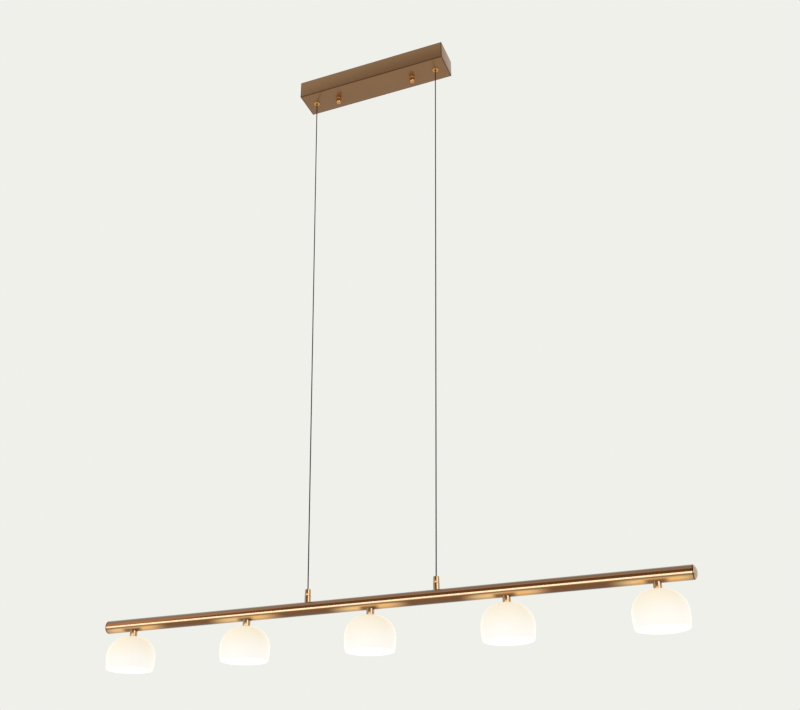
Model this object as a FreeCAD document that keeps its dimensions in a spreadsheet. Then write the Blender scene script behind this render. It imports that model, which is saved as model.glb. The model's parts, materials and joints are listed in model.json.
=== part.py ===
"""Linear island pendant: a ceiling canopy, two suspension cables, a round bar and glass shades.

Millimetres, +Z up. The origin is the centre of the mounting bracket's upper face, where it
meets the ceiling. X runs along the bar and Y from front to back.
"""
import FreeCAD, Part

import math
import os

import Sketcher
from FreeCAD import Placement, Rotation, Vector

DRIVING_SIZES = {
    # the bar
    "bar_length": 1206.0,
    "tube_outer": 26.0,
    "tube_wall": 1.5,
    "cap_rim": 7.0,
    "cap_dome": 5.5,
    "cap_spigot": 12.0,
    # the shades, their stems and lamps
    "shade_pitch": 267.0,
    "shade_outer": 97.5,
    "shade_height": 66.0,
    "shade_wall": 3.5,
    "shade_tuck": 2.2,
    "crown_flat": 17.0,
    "stem_outer": 15.0,
    "stem_reach": 11.0,
    "stem_thread": 10.0,
    "stem_bore": 7.0,
    "washer_outer": 15.0,
    "washer_thick": 1.0,
    "ring_outer": 24.0,
    "ring_thick": 4.0,
    "holder_outer": 20.0,
    "holder_length": 18.0,
    "holder_socket": 4.0,
    "holder_round": 1.5,
    "lamp_outer": 12.0,
    "lamp_length": 28.0,
    "lamp_foot": 6.0,
    "pin_spacing": 4.0,
    "pin_size": 0.9,
    "pin_length": 6.0,
    # the cables and what grips them on the bar
    "cable_outer": 2.4,
    "cable_drop": 1260.0,
    "grip_spacing": 267.0,
    "exit_spacing": 320.0,
    "grip_outer": 12.4,
    "grip_height": 12.0,
    "grip_thread": 8.0,
    "grip_bore": 5.6,
    "nipple_outer": 7.8,
    "nipple_height": 6.0,
    "collar_outer": 11.7,
    "collar_height": 12.5,
    "collar_round": 1.5,
    "collar_mouth": 4.8,
    "clamp_ball": 6.8,
    # the nuts inside the tube, and the wires
    "saddle_nut_across": 13.0,
    "saddle_nut_thick": 4.5,
    "wire_outer": 1.6,
    "wire_spacing": 3.4,
    "wire_clearance": 1.5,
    "wire_overrun": 4.8,
    # the canopy
    "canopy_length": 378.0,
    "canopy_width": 72.0,
    "canopy_depth": 46.0,
    "canopy_sheet": 1.2,
    "canopy_round": 1.0,
    "bracket_length": 300.0,
    "bracket_width": 50.0,
    "bracket_thick": 2.0,
    "slot_spacing": 250.0,
    "slot_length": 16.0,
    "slot_width": 5.5,
    "supply_hole": 12.0,
    "supply_offset": 12.5,
    "stud_spacing": 198.0,
    "stud_size": 5.0,
    "stud_tail": 11.0,
    "lock_nut_across": 9.0,
    "lock_nut_thick": 4.0,
    "cap_nut_outer": 12.5,
    "cap_nut_height": 20.0,
    "cap_nut_straight": 14.0,
    "cap_nut_groove": 1.2,
    "ferrule_flange": 15.0,
    "ferrule_flange_thick": 2.5,
    "ferrule_round": 0.8,
    "ferrule_shank": 10.0,
    "ferrule_nut_across": 13.0,
    "ferrule_nut_thick": 3.0,
    "ferrule_mouth": 5.2,
    "swivel_ball": 7.2,
    "swivel_rise": 1.7,
    # what the canopy holds
    "driver_length": 130.0,
    "driver_width": 34.0,
    "driver_height": 24.0,
    "driver_centre": -20.0,
    "driver_ear": 6.0,
    "terminal_length": 22.0,
    "terminal_width": 18.0,
    "terminal_height": 14.0,
    "terminal_centre": 76.0,
    "terminal_offset": -13.0,
    "earth_offset": 12.5,
    "tail_rise": 12.8,
    "tail_climb": 4.4,
    "lead_reach": 9.6,
    "lead_pitch": 3.2,
    "screw_size": 3.0,
    "screw_head": 5.6,
    "screw_head_thick": 2.0,
    # clearances
    "running_gap": 0.06,
    "thread_gap": 0.1,
    "hole_gap": 0.2,
    "seat_gap": 0.15,
    "cope_gap": 0.02,
    "cable_gap": 0.2,
    "wire_gap": 0.3,
}

SHADE_COUNT = 5
TERMINAL_POLES = 3
SAME_HEIGHT = 1e-4
SIDES = {"left": -1, "right": 1}
HEX_SIDES = 6

doc = FreeCAD.newDocument("IslandPendant")
sheet = doc.addObject("Spreadsheet::Sheet", "Sizes")
for row, (alias, number) in enumerate(DRIVING_SIZES.items(), start=1):
    sheet.set("A%d" % row, alias.replace("_", " "))
    sheet.set("B%d" % row, str(number))
    sheet.setAlias("B%d" % row, alias)
doc.recompute()

subparts = []


class Size:
    """A length that knows its number and the sheet expression that gives it."""

    def __init__(self, number, text):
        self.number = number
        self.text = text

    @staticmethod
    def of(thing):
        """A plain number as a Size."""
        return thing if isinstance(thing, Size) else Size(float(thing), repr(float(thing)))

    def __add__(self, other):
        other = Size.of(other)
        return Size(self.number + other.number, "(%s + %s)" % (self.text, other.text))

    def __sub__(self, other):
        other = Size.of(other)
        return Size(self.number - other.number, "(%s - %s)" % (self.text, other.text))

    def __mul__(self, factor):
        return Size(self.number * factor, "(%s * %r)" % (self.text, float(factor)))

    def __truediv__(self, divisor):
        return Size(self.number / divisor, "(%s / %r)" % (self.text, float(divisor)))

    def __neg__(self):
        return self * -1

    __radd__ = __add__
    __rmul__ = __mul__


def size(alias):
    """The driving dimension of that name."""
    return Size(float(getattr(sheet, alias)), "Sizes.%s" % alias)


ZERO = Size.of(0)


def bind(thing, path, length):
    """Ties a property of an object, such as Radius or Placement.Base.x, to the sheet."""
    thing.setExpression(path, Size.of(length).text)


def place(thing, x=ZERO, y=ZERO, z=ZERO, turn=None):
    """Puts an object at a place that follows the sheet, turned by a fixed rotation."""
    x, y, z = Size.of(x), Size.of(y), Size.of(z)
    base = Vector(x.number, y.number, z.number)
    thing.Placement = Placement(base, turn or Rotation())
    for axis, length in (("x", x), ("y", y), ("z", z)):
        bind(thing, "Placement.Base.%s" % axis, length)
    return thing


ALONG_X = Rotation(Vector(0, 1, 0), 90)
ALONG_MINUS_X = Rotation(Vector(0, 1, 0), -90)
ALONG_Y = Rotation(Vector(1, 0, 0), -90)


def cylinder(name, radius, length, x=ZERO, y=ZERO, z=ZERO, turn=None):
    """A cylinder whose base centre is at x, y, z."""
    made = doc.addObject("Part::Cylinder", name)
    bind(made, "Radius", radius)
    bind(made, "Height", length)
    return place(made, x, y, z, turn)


def sphere(name, radius, x=ZERO, y=ZERO, z=ZERO):
    """A ball about x, y, z."""
    made = doc.addObject("Part::Sphere", name)
    bind(made, "Radius", radius)
    return place(made, x, y, z)


def box(name, length, width, height, x=ZERO, y=ZERO, z=ZERO):
    """A box centred on x and y, with its bottom at z."""
    length, width = Size.of(length), Size.of(width)
    made = doc.addObject("Part::Box", name)
    bind(made, "Length", length)
    bind(made, "Width", width)
    bind(made, "Height", height)
    return place(made, Size.of(x) - length / 2, Size.of(y) - width / 2, z)


def hexagon(name, across, thick, x=ZERO, y=ZERO, z=ZERO):
    """A hexagonal prism, across its flats, with its bottom at z."""
    made = doc.addObject("Part::Prism", name)
    made.Polygon = HEX_SIDES
    bind(made, "Circumradius", Size.of(across) / (2 * math.cos(math.pi / HEX_SIDES)))
    bind(made, "Height", thick)
    return place(made, x, y, z)


def fuse(name, *shapes):
    """The shapes joined in one."""
    made = doc.addObject("Part::MultiFuse", name)
    made.Shapes = list(shapes)
    return made


def cut(name, base, *tools):
    """The base with the tools taken out of it."""
    made = doc.addObject("Part::Cut", name)
    made.Base = base
    made.Tool = tools[0] if len(tools) == 1 else fuse(name + "_tools", *tools)
    return made


def common(name, base, tool):
    """What the base and the tool share."""
    made = doc.addObject("Part::Common", name)
    made.Base = base
    made.Tool = tool
    return made


def group(name, *members):
    """Separate solids of one kind that share a node."""
    made = doc.addObject("Part::Compound", name)
    made.Links = list(members)
    return made


def rounded(name, base, radius, picks):
    """The base with the edges that picks accepts rounded."""
    doc.recompute()
    made = doc.addObject("Part::Fillet", name)
    made.Base = base
    radius = Size.of(radius).number
    made.Edges = [
        (number, radius, radius) for number, edge in enumerate(base.Shape.Edges, start=1) if picks(edge)
    ]
    return made


def round_edge_at(radius, height):
    """Picks the circular edges of that radius at that height."""
    radius, height = Size.of(radius).number, Size.of(height).number

    def picks(edge):
        if not isinstance(edge.Curve, Part.Circle):
            return False
        return abs(edge.Curve.Radius - radius) < 1e-4 and abs(edge.Curve.Center.z - height) < 1e-4

    return picks


def subpart(label, made):
    """Names an object as one of the pendant's pieces."""
    made.Label = label
    subparts.append(made)
    return made


def origin_plane(body, role):
    """One of a body's own base planes."""
    return next(part for part in body.Origin.OriginFeatures if part.Role == role)


def turned(name, corners, arcs=(), x=ZERO, y=ZERO, z=ZERO, turn=None):
    """A piece turned about its own Z axis.

    corners are (radius, height) pairs round the section, and arcs maps the number of the
    side that leaves a corner to (radius, centre radius, centre height) where it is curved.
    """
    body = doc.addObject("PartDesign::Body", name)
    sketch = body.newObject("Sketcher::SketchObject", name + "_section")
    sketch.AttachmentSupport = [(origin_plane(body, "XZ_Plane"), "")]
    sketch.MapMode = "FlatFace"
    corners = [(Size.of(across), Size.of(up)) for across, up in corners]
    points = [Vector(across.number, up.number, 0) for across, up in corners]
    arcs = dict(arcs)
    for side, start in enumerate(points):
        end = points[(side + 1) % len(points)]
        if side in arcs:
            sketch.addGeometry(section_arc(start, end, *arcs[side]), False)
        else:
            sketch.addGeometry(Part.LineSegment(start, end), False)
    tie_section(sketch, corners, arcs)
    revolved = body.newObject("PartDesign::Revolution", name + "_turned")
    revolved.Profile = sketch
    revolved.ReferenceAxis = (sketch, ["V_Axis"])
    revolved.Angle = 360.0
    return place(body, x, y, z, turn)


def section_arc(start, end, radius, centre_across, centre_up):
    """The short arc between start and end about its centre, counter-clockwise as sketches keep it."""
    centre = Vector(Size.of(centre_across).number, Size.of(centre_up).number, 0)
    first, last = [math.atan2(point.y - centre.y, point.x - centre.x) for point in (start, end)]
    if (last - first) % (2 * math.pi) > math.pi:
        first, last = last, first
    circle = Part.Circle(centre, Vector(0, 0, 1), Size.of(radius).number)
    return Part.ArcOfCircle(circle, first, last)


def tie_section(sketch, corners, arcs):
    """Fixes each corner and each curved side of a section to the sheet."""
    count = len(corners)
    ends = [arc_ends(sketch, side, corners) for side in range(count)]
    for side in range(count):
        after = (side + 1) % count
        sketch.addConstraint(Sketcher.Constraint("Coincident", side, ends[side][1], after, ends[after][0]))
    for side, (across, up) in enumerate(corners):
        for kind, length in (("DistanceX", across), ("DistanceY", up)):
            number = sketch.addConstraint(
                Sketcher.Constraint(kind, -1, 1, side, ends[side][0], length.number)
            )
            bind(sketch, "Constraints[%d]" % number, length)
    for side, (radius, _, _) in arcs.items():
        radius = Size.of(radius)
        number = sketch.addConstraint(Sketcher.Constraint("Radius", side, radius.number))
        bind(sketch, "Constraints[%d]" % number, radius)


def arc_ends(sketch, side, corners):
    """Which end of a side's curve (1 or 2) is its start corner, and which its end corner."""
    across, up = corners[side]
    start = Vector(across.number, up.number, 0)
    curve = sketch.Geometry[side]
    return (1, 2) if (curve.StartPoint - start).Length < (curve.EndPoint - start).Length else (2, 1)


def wire_tube(name, points, diameter):
    """A round wire along straight runs joined by tangent arcs, through points in millimetres."""
    points = [Vector(*[Size.of(part).number for part in point]) for point in points]
    edges = []
    start = points[0]
    radii = []
    for before, corner, after in zip(points, points[1:], points[2:]):
        back, ahead = before - corner, after - corner
        shorter = min(back.Length, ahead.Length)
        back.normalize()
        ahead.normalize()
        turn = math.pi - back.getAngle(ahead)
        tangent = 0.45 * shorter
        radii.append(tangent / math.tan(turn / 2))
        inward = back + ahead
        inward.normalize()
        reach = math.hypot(tangent, radii[-1]) - radii[-1]
        first, last = corner + back * tangent, corner + ahead * tangent
        edges.append(Part.LineSegment(start, first).toShape())
        edges.append(Part.Arc(first, corner + inward * reach, last).toShape())
        start = last
    edges.append(Part.LineSegment(start, points[-1]).toShape())
    path = Part.Wire(edges)
    ring = Part.Wire([Part.makeCircle(Size.of(diameter).number / 2, points[0], points[1] - points[0])])
    made = doc.addObject("Part::Feature", name)
    made.Shape = path.makePipeShell([ring], True, False)
    expected = math.pi * (Size.of(diameter).number / 2) ** 2 * path.Length
    print("%s: length %.1f, bend radii %s, volume share %.4f" % (
        name, path.Length, ["%.1f" % radius for radius in radii], made.Shape.Volume / expected))
    return made


# ---------------------------------------------------------------- heights and places
tube_radius = size("tube_outer") / 2
tube_inner = tube_radius - size("tube_wall")
underside = -size("canopy_depth")
bar_axis = underside - size("cable_drop") - tube_radius
shade_places = [size("shade_pitch") * (number - (SHADE_COUNT - 1) / 2) for number in range(SHADE_COUNT)]
stem_foot = -tube_radius - size("stem_reach") + size("washer_thick")
crown = stem_foot - size("washer_thick")
glass_inside = crown - size("shade_wall")
ring_top = glass_inside - size("washer_thick")
holder_top = ring_top - size("ring_thick")
lamp_top = holder_top - size("holder_length")
stem_radius = size("stem_thread") / 2
grip_top = tube_radius + size("grip_height")
nipple_top = grip_top + size("nipple_height")
collar_top = grip_top + size("collar_height")
clamp_radius = size("clamp_ball") / 2
clamp_rise = Size.of(math.sqrt(clamp_radius.number ** 2 - (size("grip_bore").number / 2) ** 2))
clamp_seat = nipple_top + clamp_rise + size("seat_gap")
swivel_radius = size("swivel_ball") / 2
swivel_height = underside + size("swivel_rise")
wire_radius = size("wire_outer") / 2
thread_foot = tube_inner - size("saddle_nut_thick") - size("wire_gap")
wire_level = thread_foot - size("wire_clearance") - wire_radius


def tube_core(name, radius):
    """A long cylinder on the bar's axis, for coping what sits on the tube."""
    length = size("bar_length")
    return cylinder(name, radius, length, x=-length / 2, z=bar_axis, turn=ALONG_X)


# ---------------------------------------------------------------- the bar
def make_bar():
    length = size("bar_length") - size("cap_rim") * 2
    outside = cylinder("tube_outside", tube_radius, length, x=-length / 2, z=bar_axis, turn=ALONG_X)
    inside = cylinder("tube_inside", tube_inner, length, x=-length / 2, z=bar_axis, turn=ALONG_X)
    tools = [inside]
    for number, across in enumerate(shade_places, start=1):
        radius = stem_radius + size("hole_gap")
        tools.append(cylinder("stem_hole_%d" % number, radius, tube_radius, x=across, z=bar_axis - tube_radius))
    for side, sign in SIDES.items():
        radius = size("grip_thread") / 2 + size("hole_gap")
        tools.append(
            cylinder("grip_hole_" + side, radius, tube_radius, x=size("grip_spacing") * (sign / 2), z=bar_axis)
        )
    subpart("bar_tube", cut("bar_tube_cut", outside, *tools))
    for side, sign in SIDES.items():
        make_end_cap(side, sign)


def make_end_cap(side, sign):
    """A domed end as wide as the tube, with a spigot that slides into it."""
    rim, spigot, dome = size("cap_rim"), size("cap_spigot"), size("cap_dome")
    dome_radius = Size.of((tube_radius.number ** 2 + dome.number ** 2) / (2 * dome.number))
    bore_fit = tube_inner - size("hole_gap")
    corners = [
        (ZERO, -spigot),
        (bore_fit, -spigot),
        (bore_fit, ZERO),
        (tube_radius, ZERO),
        (tube_radius, rim - dome),
        (ZERO, rim),
    ]
    arcs = {4: (dome_radius, ZERO, rim - dome_radius)}
    seat = (size("bar_length") / 2 - rim) * sign
    turn = ALONG_X if sign > 0 else ALONG_MINUS_X
    subpart("end_cap_" + side, turned("end_cap_%s_body" % side, corners, arcs, x=seat, z=bar_axis, turn=turn))


def saddle_nut(name, across, thick, bore, x, height):
    """A hexagonal nut whose outer corners are shaped to the tube's bore."""
    blank = hexagon(name + "_blank", across, thick, x=x, z=bar_axis + height)
    fitted = common(name + "_fitted", blank, tube_core(name + "_bore_shape", tube_inner - size("cope_gap")))
    hole = cylinder(name + "_hole", bore, thick, x=x, z=bar_axis + height)
    return cut(name, fitted, hole)


def make_bar_wiring():
    """One conductor for each pole, with a drop to each lamp and a rise to its own cable."""
    span = size("shade_pitch") * (SHADE_COUNT - 1)
    overrun = size("wire_overrun")
    low = bar_axis + holder_top - size("holder_socket") + size("wire_gap")
    level = bar_axis + wire_level
    poles = []
    for (side, sign), pole in zip(SIDES.items(), (1, -1)):
        aside = size("wire_spacing") * (pole / 2)
        run = cylinder(
            "conductor_%s_run" % side, wire_radius, span + overrun * 2,
            x=-span / 2 - overrun, y=aside, z=level, turn=ALONG_X,
        )
        members = [run]
        for number, across in enumerate(shade_places, start=1):
            name = "conductor_%s_drop_%d" % (side, number)
            members.append(cylinder(name, wire_radius, level - low, x=across, y=aside, z=low))
        rise = nipple_top - size("nipple_height") / 2 - wire_level
        grip_across = size("grip_spacing") * (sign / 2)
        members.append(
            cylinder("conductor_%s_rise" % side, wire_radius, rise, x=grip_across, y=aside, z=level)
        )
        poles.append(fuse("conductor_" + side, *members))
    subpart("bar_wiring", group("bar_wiring_group", *poles))


# ---------------------------------------------------------------- the lamps and shades
def make_stem(number, across):
    """The short brass stem: a coped barrel under the tube on a hollow threaded core."""
    name = "shade_stem_%d" % number
    core_low = holder_top - size("holder_socket") + size("wire_gap") * 2
    core_high = -tube_inner + size("saddle_nut_thick") + size("wire_gap")
    barrel = cylinder(name + "_barrel", size("stem_outer") / 2, -stem_foot, x=across, z=bar_axis + stem_foot)
    coped = cut(name + "_coped", barrel, tube_core(name + "_cope", tube_radius + size("cope_gap")))
    core = cylinder(name + "_core", stem_radius, core_high - core_low, x=across, z=bar_axis + core_low)
    solid = fuse(name + "_solid", coped, core)
    bore = cylinder(
        name + "_bore", size("stem_bore") / 2, core_high - core_low, x=across, z=bar_axis + core_low
    )
    subpart(name, cut(name + "_cut", solid, bore))


def make_shade(number, across):
    """The blown glass shade: a flat crown, a round shoulder and sides that tuck in at the rim."""
    outer = size("shade_outer") / 2
    wall = size("shade_wall")
    flat = size("crown_flat") / 2
    shoulder = outer - flat
    tuck = size("shade_tuck")
    height = size("shade_height")
    hole = stem_radius + size("hole_gap")
    lip = wall / 2
    waist = -shoulder
    rim = -height
    side_drop = height.number - shoulder.number - lip.number
    side_radius = (side_drop ** 2 + tuck.number ** 2) / (2 * tuck.number)
    side_arc = Size.of(side_radius)
    inner_side = side_arc - wall
    corners = [
        (hole, ZERO),
        (flat, ZERO),
        (outer, waist),
        (outer - tuck, rim + lip),
        (outer - tuck - lip, rim),
        (outer - tuck - wall, rim + lip),
        (outer - wall, waist),
        (flat, -wall),
        (hole, -wall),
    ]
    arcs = {
        1: (shoulder, flat, waist),
        2: (side_arc, outer - side_arc, waist),
        3: (lip, outer - tuck - lip, rim + lip),
        4: (lip, outer - tuck - lip, rim + lip),
        5: (inner_side, outer - side_arc, waist),
        6: (shoulder - wall, flat, waist),
    }
    name = "glass_shade_%d" % number
    subpart(name, turned(name + "_body", corners, arcs, x=across, z=bar_axis + crown))


def make_holder(number, across):
    """The ceramic lamp holder: a socket for the stem above and two pin holes below."""
    name = "lamp_holder_%d" % number
    radius, length = size("holder_outer") / 2, size("holder_length")
    body = cylinder(name + "_blank", radius, length, x=across, z=bar_axis + lamp_top)
    softened = rounded(name + "_soft", body, size("holder_round"), round_edge_at(radius, bar_axis + lamp_top))
    socket_depth = size("holder_socket")
    socket = cylinder(
        name + "_socket", stem_radius + size("thread_gap"), socket_depth,
        x=across, z=bar_axis + holder_top - socket_depth,
    )
    tools = [socket]
    for side, sign in SIDES.items():
        tools.append(
            cylinder(
                "%s_pin_hole_%s" % (name, side), size("pin_size") / 2 + size("hole_gap"),
                size("pin_length") + size("wire_gap"), x=across + size("pin_spacing") * (sign / 2),
                z=bar_axis + lamp_top,
            )
        )
    subpart(name, cut(name + "_cut", softened, *tools))


def make_lamp(number, across):
    """The capsule lamp: a round-ended tube with two pins."""
    name = "capsule_lamp_%d" % number
    radius, length = size("lamp_outer") / 2, size("lamp_length")
    foot = size("lamp_foot") / 2
    corners = [
        (ZERO, ZERO),
        (foot, ZERO),
        (radius, -(radius - foot)),
        (radius, -length + radius),
        (ZERO, -length),
    ]
    arcs = {1: (radius - foot, foot, -(radius - foot)), 3: (radius, ZERO, -length + radius)}
    envelope = turned(name + "_envelope", corners, arcs, x=across, z=bar_axis + lamp_top)
    pins = [
        cylinder(
            "%s_pin_%s" % (name, side), size("pin_size") / 2, size("pin_length") + size("wire_gap"),
            x=across + size("pin_spacing") * (sign / 2), z=bar_axis + lamp_top - size("wire_gap"),
        )
        for side, sign in SIDES.items()
    ]
    subpart(name, fuse(name + "_fuse", envelope, *pins))


def ring(name, outer, inner, thick, x, z, y=ZERO):
    """A flat ring with its bottom at z."""
    disc = cylinder(name + "_disc", outer, thick, x=x, y=y, z=z)
    return cut(name, disc, cylinder(name + "_hole", inner, thick, x=x, y=y, z=z))


def make_lamps():
    washers, rings, nuts = [], [], []
    thick = size("washer_thick")
    fit = stem_radius + size("hole_gap")
    for number, across in enumerate(shade_places, start=1):
        make_stem(number, across)
        make_shade(number, across)
        make_holder(number, across)
        make_lamp(number, across)
        for level, bottom in (("upper", crown), ("lower", ring_top)):
            name = "washer_%d_%s" % (number, level)
            washers.append(ring(name, size("washer_outer") / 2, fit, thick, across, bar_axis + bottom))
        rings.append(
            ring("retaining_ring_%d" % number, size("ring_outer") / 2, stem_radius + size("thread_gap"),
                 size("ring_thick"), across, bar_axis + holder_top)
        )
        nuts.append(
            saddle_nut("stem_nut_%d" % number, size("saddle_nut_across"), size("saddle_nut_thick"),
                       stem_radius + size("thread_gap"), across, -tube_inner)
        )
    subpart("shade_washers", group("shade_washers_group", *washers))
    subpart("shade_retaining_rings", group("shade_retaining_rings_group", *rings))
    subpart("stem_lock_nuts", group("stem_lock_nuts_group", *nuts))


# ---------------------------------------------------------------- the cables and their grips
def make_grip(side, sign):
    """The cable grip: a coped barrel on the tube, with a nipple that the collar screws onto."""
    name = "cable_grip_" + side
    across = size("grip_spacing") * (sign / 2)
    barrel = cylinder(name + "_barrel", size("grip_outer") / 2, grip_top, x=across, z=bar_axis)
    coped = cut(name + "_coped", barrel, tube_core(name + "_cope", tube_radius + size("cope_gap")))
    nipple = cylinder(
        name + "_nipple", size("nipple_outer") / 2, size("nipple_height"), x=across, z=bar_axis + grip_top
    )
    thread = cylinder(
        name + "_thread", size("grip_thread") / 2, grip_top - thread_foot, x=across, z=bar_axis + thread_foot
    )
    solid = fuse(name + "_solid", coped, nipple, thread)
    bore = cylinder(
        name + "_bore", size("grip_bore") / 2, nipple_top - thread_foot, x=across, z=bar_axis + thread_foot
    )
    subpart(name, cut(name + "_cut", solid, bore))


def make_collar(side, sign):
    """The collar that turns on the nipple and presses the clamping ball onto the cable."""
    name = "grip_collar_" + side
    across = size("grip_spacing") * (sign / 2)
    radius = size("collar_outer") / 2
    pocket = clamp_radius + size("wire_gap")
    blank = cylinder(name + "_blank", radius, size("collar_height"), x=across, z=bar_axis + grip_top)
    soft = rounded(name + "_soft", blank, size("collar_round"), round_edge_at(radius, bar_axis + collar_top))
    recess = cylinder(
        name + "_recess", size("nipple_outer") / 2 + size("running_gap"),
        size("nipple_height") + size("wire_gap"), x=across, z=bar_axis + grip_top,
    )
    chamber = cylinder(name + "_chamber", pocket, clamp_seat - grip_top, x=across, z=bar_axis + grip_top)
    dome = sphere(name + "_dome", pocket, x=across, z=bar_axis + clamp_seat)
    mouth = cylinder(
        name + "_mouth", size("collar_mouth") / 2, size("collar_height"), x=across, z=bar_axis + clamp_seat
    )
    subpart(name, cut(name + "_cut", soft, recess, chamber, dome, mouth))


def make_clamp_ball(side, sign):
    """The split ball that closes on the cable inside the collar."""
    name = "clamp_ball_" + side
    across = size("grip_spacing") * (sign / 2)
    ball = sphere(name + "_ball", clamp_radius, x=across, z=bar_axis + clamp_seat)
    hole = cylinder(
        name + "_hole", size("cable_outer") / 2 + size("cable_gap"), clamp_radius * 2,
        x=across, z=bar_axis + clamp_seat - clamp_radius,
    )
    subpart(name, cut(name + "_cut", ball, hole))


def make_cable(side, sign):
    """The taut cable, from the swivel ball in the ferrule to the clamping ball on the bar."""
    top = Vector(sign * size("exit_spacing").number / 2, 0, swivel_height.number)
    foot = Vector(sign * size("grip_spacing").number / 2, 0, (bar_axis + clamp_seat).number)
    made = doc.addObject("Part::Feature", "suspension_cable_" + side)
    made.Shape = Part.makeCylinder(size("cable_outer").number / 2, (foot - top).Length, top, foot - top)
    print("suspension cable %s: length %.1f" % (side, (foot - top).Length))
    subpart("suspension_cable_" + side, made)


def make_suspension():
    nuts, balls = [], []
    for side, sign in SIDES.items():
        make_grip(side, sign)
        make_collar(side, sign)
        make_clamp_ball(side, sign)
        make_cable(side, sign)
        nuts.append(
            saddle_nut("grip_nut_" + side, size("saddle_nut_across"), size("saddle_nut_thick"),
                       size("grip_thread") / 2 + size("thread_gap"), size("grip_spacing") * (sign / 2),
                       tube_inner - size("saddle_nut_thick"))
        )
        across = size("exit_spacing") * (sign / 2)
        ball = sphere("swivel_ball_%s_blank" % side, swivel_radius, x=across, z=swivel_height)
        hole = cylinder(
            "swivel_ball_%s_hole" % side, size("cable_outer") / 2 + size("cable_gap"), swivel_radius * 2,
            x=across, z=swivel_height - swivel_radius,
        )
        balls.append(cut("swivel_ball_" + side, ball, hole))
    subpart("grip_lock_nuts", group("grip_lock_nuts_group", *nuts))
    subpart("cable_swivel_balls", group("cable_swivel_balls_group", *balls))


# ---------------------------------------------------------------- the canopy
def make_bracket():
    """The steel strip that is screwed to the ceiling, with a hole for each stud and the supply."""
    thick = size("bracket_thick")
    plate = box("bracket_plate", size("bracket_length"), size("bracket_width"), thick, z=-thick)
    tools = []
    for side, sign in SIDES.items():
        tools.append(
            cylinder("bracket_stud_hole_" + side, size("stud_size") / 2 + size("thread_gap"), thick,
                     x=size("stud_spacing") * (sign / 2), z=-thick)
        )
        tools.extend(slot_tools(side, size("slot_spacing") * (sign / 2), thick))
    tools.append(
        cylinder("bracket_supply_hole", size("supply_hole") / 2, thick,
                 x=size("terminal_centre"), y=size("supply_offset"), z=-thick)
    )
    subpart("mounting_bracket", cut("mounting_bracket_cut", plate, *tools))


def slot_tools(side, across, thick):
    """A slot along X for a ceiling screw: a straight middle and two round ends."""
    straight = size("slot_length") - size("slot_width")
    middle = box("slot_%s_middle" % side, straight, size("slot_width"), thick, x=across, z=-thick)
    ends = [
        cylinder("slot_%s_end_%d" % (side, number), size("slot_width") / 2, thick,
                 x=across + straight * share, z=-thick)
        for number, share in enumerate((-0.5, 0.5))
    ]
    return [middle, *ends]


def make_cover():
    """The folded box, open towards the ceiling, with two holes for studs and two for ferrules."""
    sheet_thick, edge = size("canopy_sheet"), size("canopy_round")
    length, width, depth = size("canopy_length"), size("canopy_width"), size("canopy_depth")
    blank = box("cover_blank", length, width, depth, z=underside)
    top = ZERO.number

    def not_at_the_ceiling(edge_shape):
        return edge_shape.BoundBox.ZMin < top - SAME_HEIGHT

    soft = rounded("cover_soft", blank, edge, not_at_the_ceiling)
    hollow = box(
        "cover_hollow", length - sheet_thick * 2, width - sheet_thick * 2, depth, z=underside + sheet_thick
    )
    tools = [hollow]
    for side, sign in SIDES.items():
        tools.append(
            cylinder("cover_stud_hole_" + side, size("stud_size") / 2 + size("hole_gap") * 2, sheet_thick,
                     x=size("stud_spacing") * (sign / 2), z=underside)
        )
        tools.append(
            cylinder("cover_ferrule_hole_" + side, size("ferrule_shank") / 2 + size("hole_gap"), sheet_thick,
                     x=size("exit_spacing") * (sign / 2), z=underside)
        )
    subpart("canopy_cover", cut("canopy_cover_cut", soft, *tools))


def make_studs():
    """The studs that hold the cover, each clamped in the bracket by a nut, and its cap nut."""
    studs, nuts = [], []
    stud_foot = underside - size("stud_tail")
    for side, sign in SIDES.items():
        across = size("stud_spacing") * (sign / 2)
        studs.append(cylinder("stud_" + side, size("stud_size") / 2, -stud_foot, x=across, z=stud_foot))
        thick = size("lock_nut_thick")
        seat = -size("bracket_thick") - thick
        blank = hexagon("stud_nut_%s_blank" % side, size("lock_nut_across"), thick, x=across, z=seat)
        hole = cylinder("stud_nut_%s_hole" % side, size("stud_size") / 2 + size("thread_gap"), thick,
                        x=across, z=seat)
        nuts.append(cut("stud_nut_" + side, blank, hole))
        make_cap_nut(side, across)
    subpart("canopy_studs", group("canopy_studs_group", *studs))
    subpart("stud_lock_nuts", group("stud_lock_nuts_group", *nuts))


def make_cap_nut(side, across):
    """The brass cap nut: a grooved barrel with a domed end and a blind bore."""
    radius, height = size("cap_nut_outer") / 2, size("cap_nut_height")
    straight, groove = size("cap_nut_straight"), size("cap_nut_groove")
    bore = size("stud_size") / 2 + size("running_gap")
    bore_depth = size("stud_tail") + size("wire_gap")
    waist = straight / 2
    dome = height - straight
    dome_radius = Size.of((radius.number ** 2 + dome.number ** 2) / (2 * dome.number))
    corners = [
        (bore, ZERO),
        (radius, ZERO),
        (radius, groove / 2 - waist),
        (radius - groove / 2, ZERO - waist),
        (radius, -waist - groove / 2),
        (radius, -straight),
        (ZERO, -height),
        (ZERO, -bore_depth),
        (bore, -bore_depth),
    ]
    arcs = {5: (dome_radius, ZERO, dome_radius - height)}
    name = "canopy_cap_nut_" + side
    subpart(name, turned(name + "_body", corners, arcs, x=across, z=underside))


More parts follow.
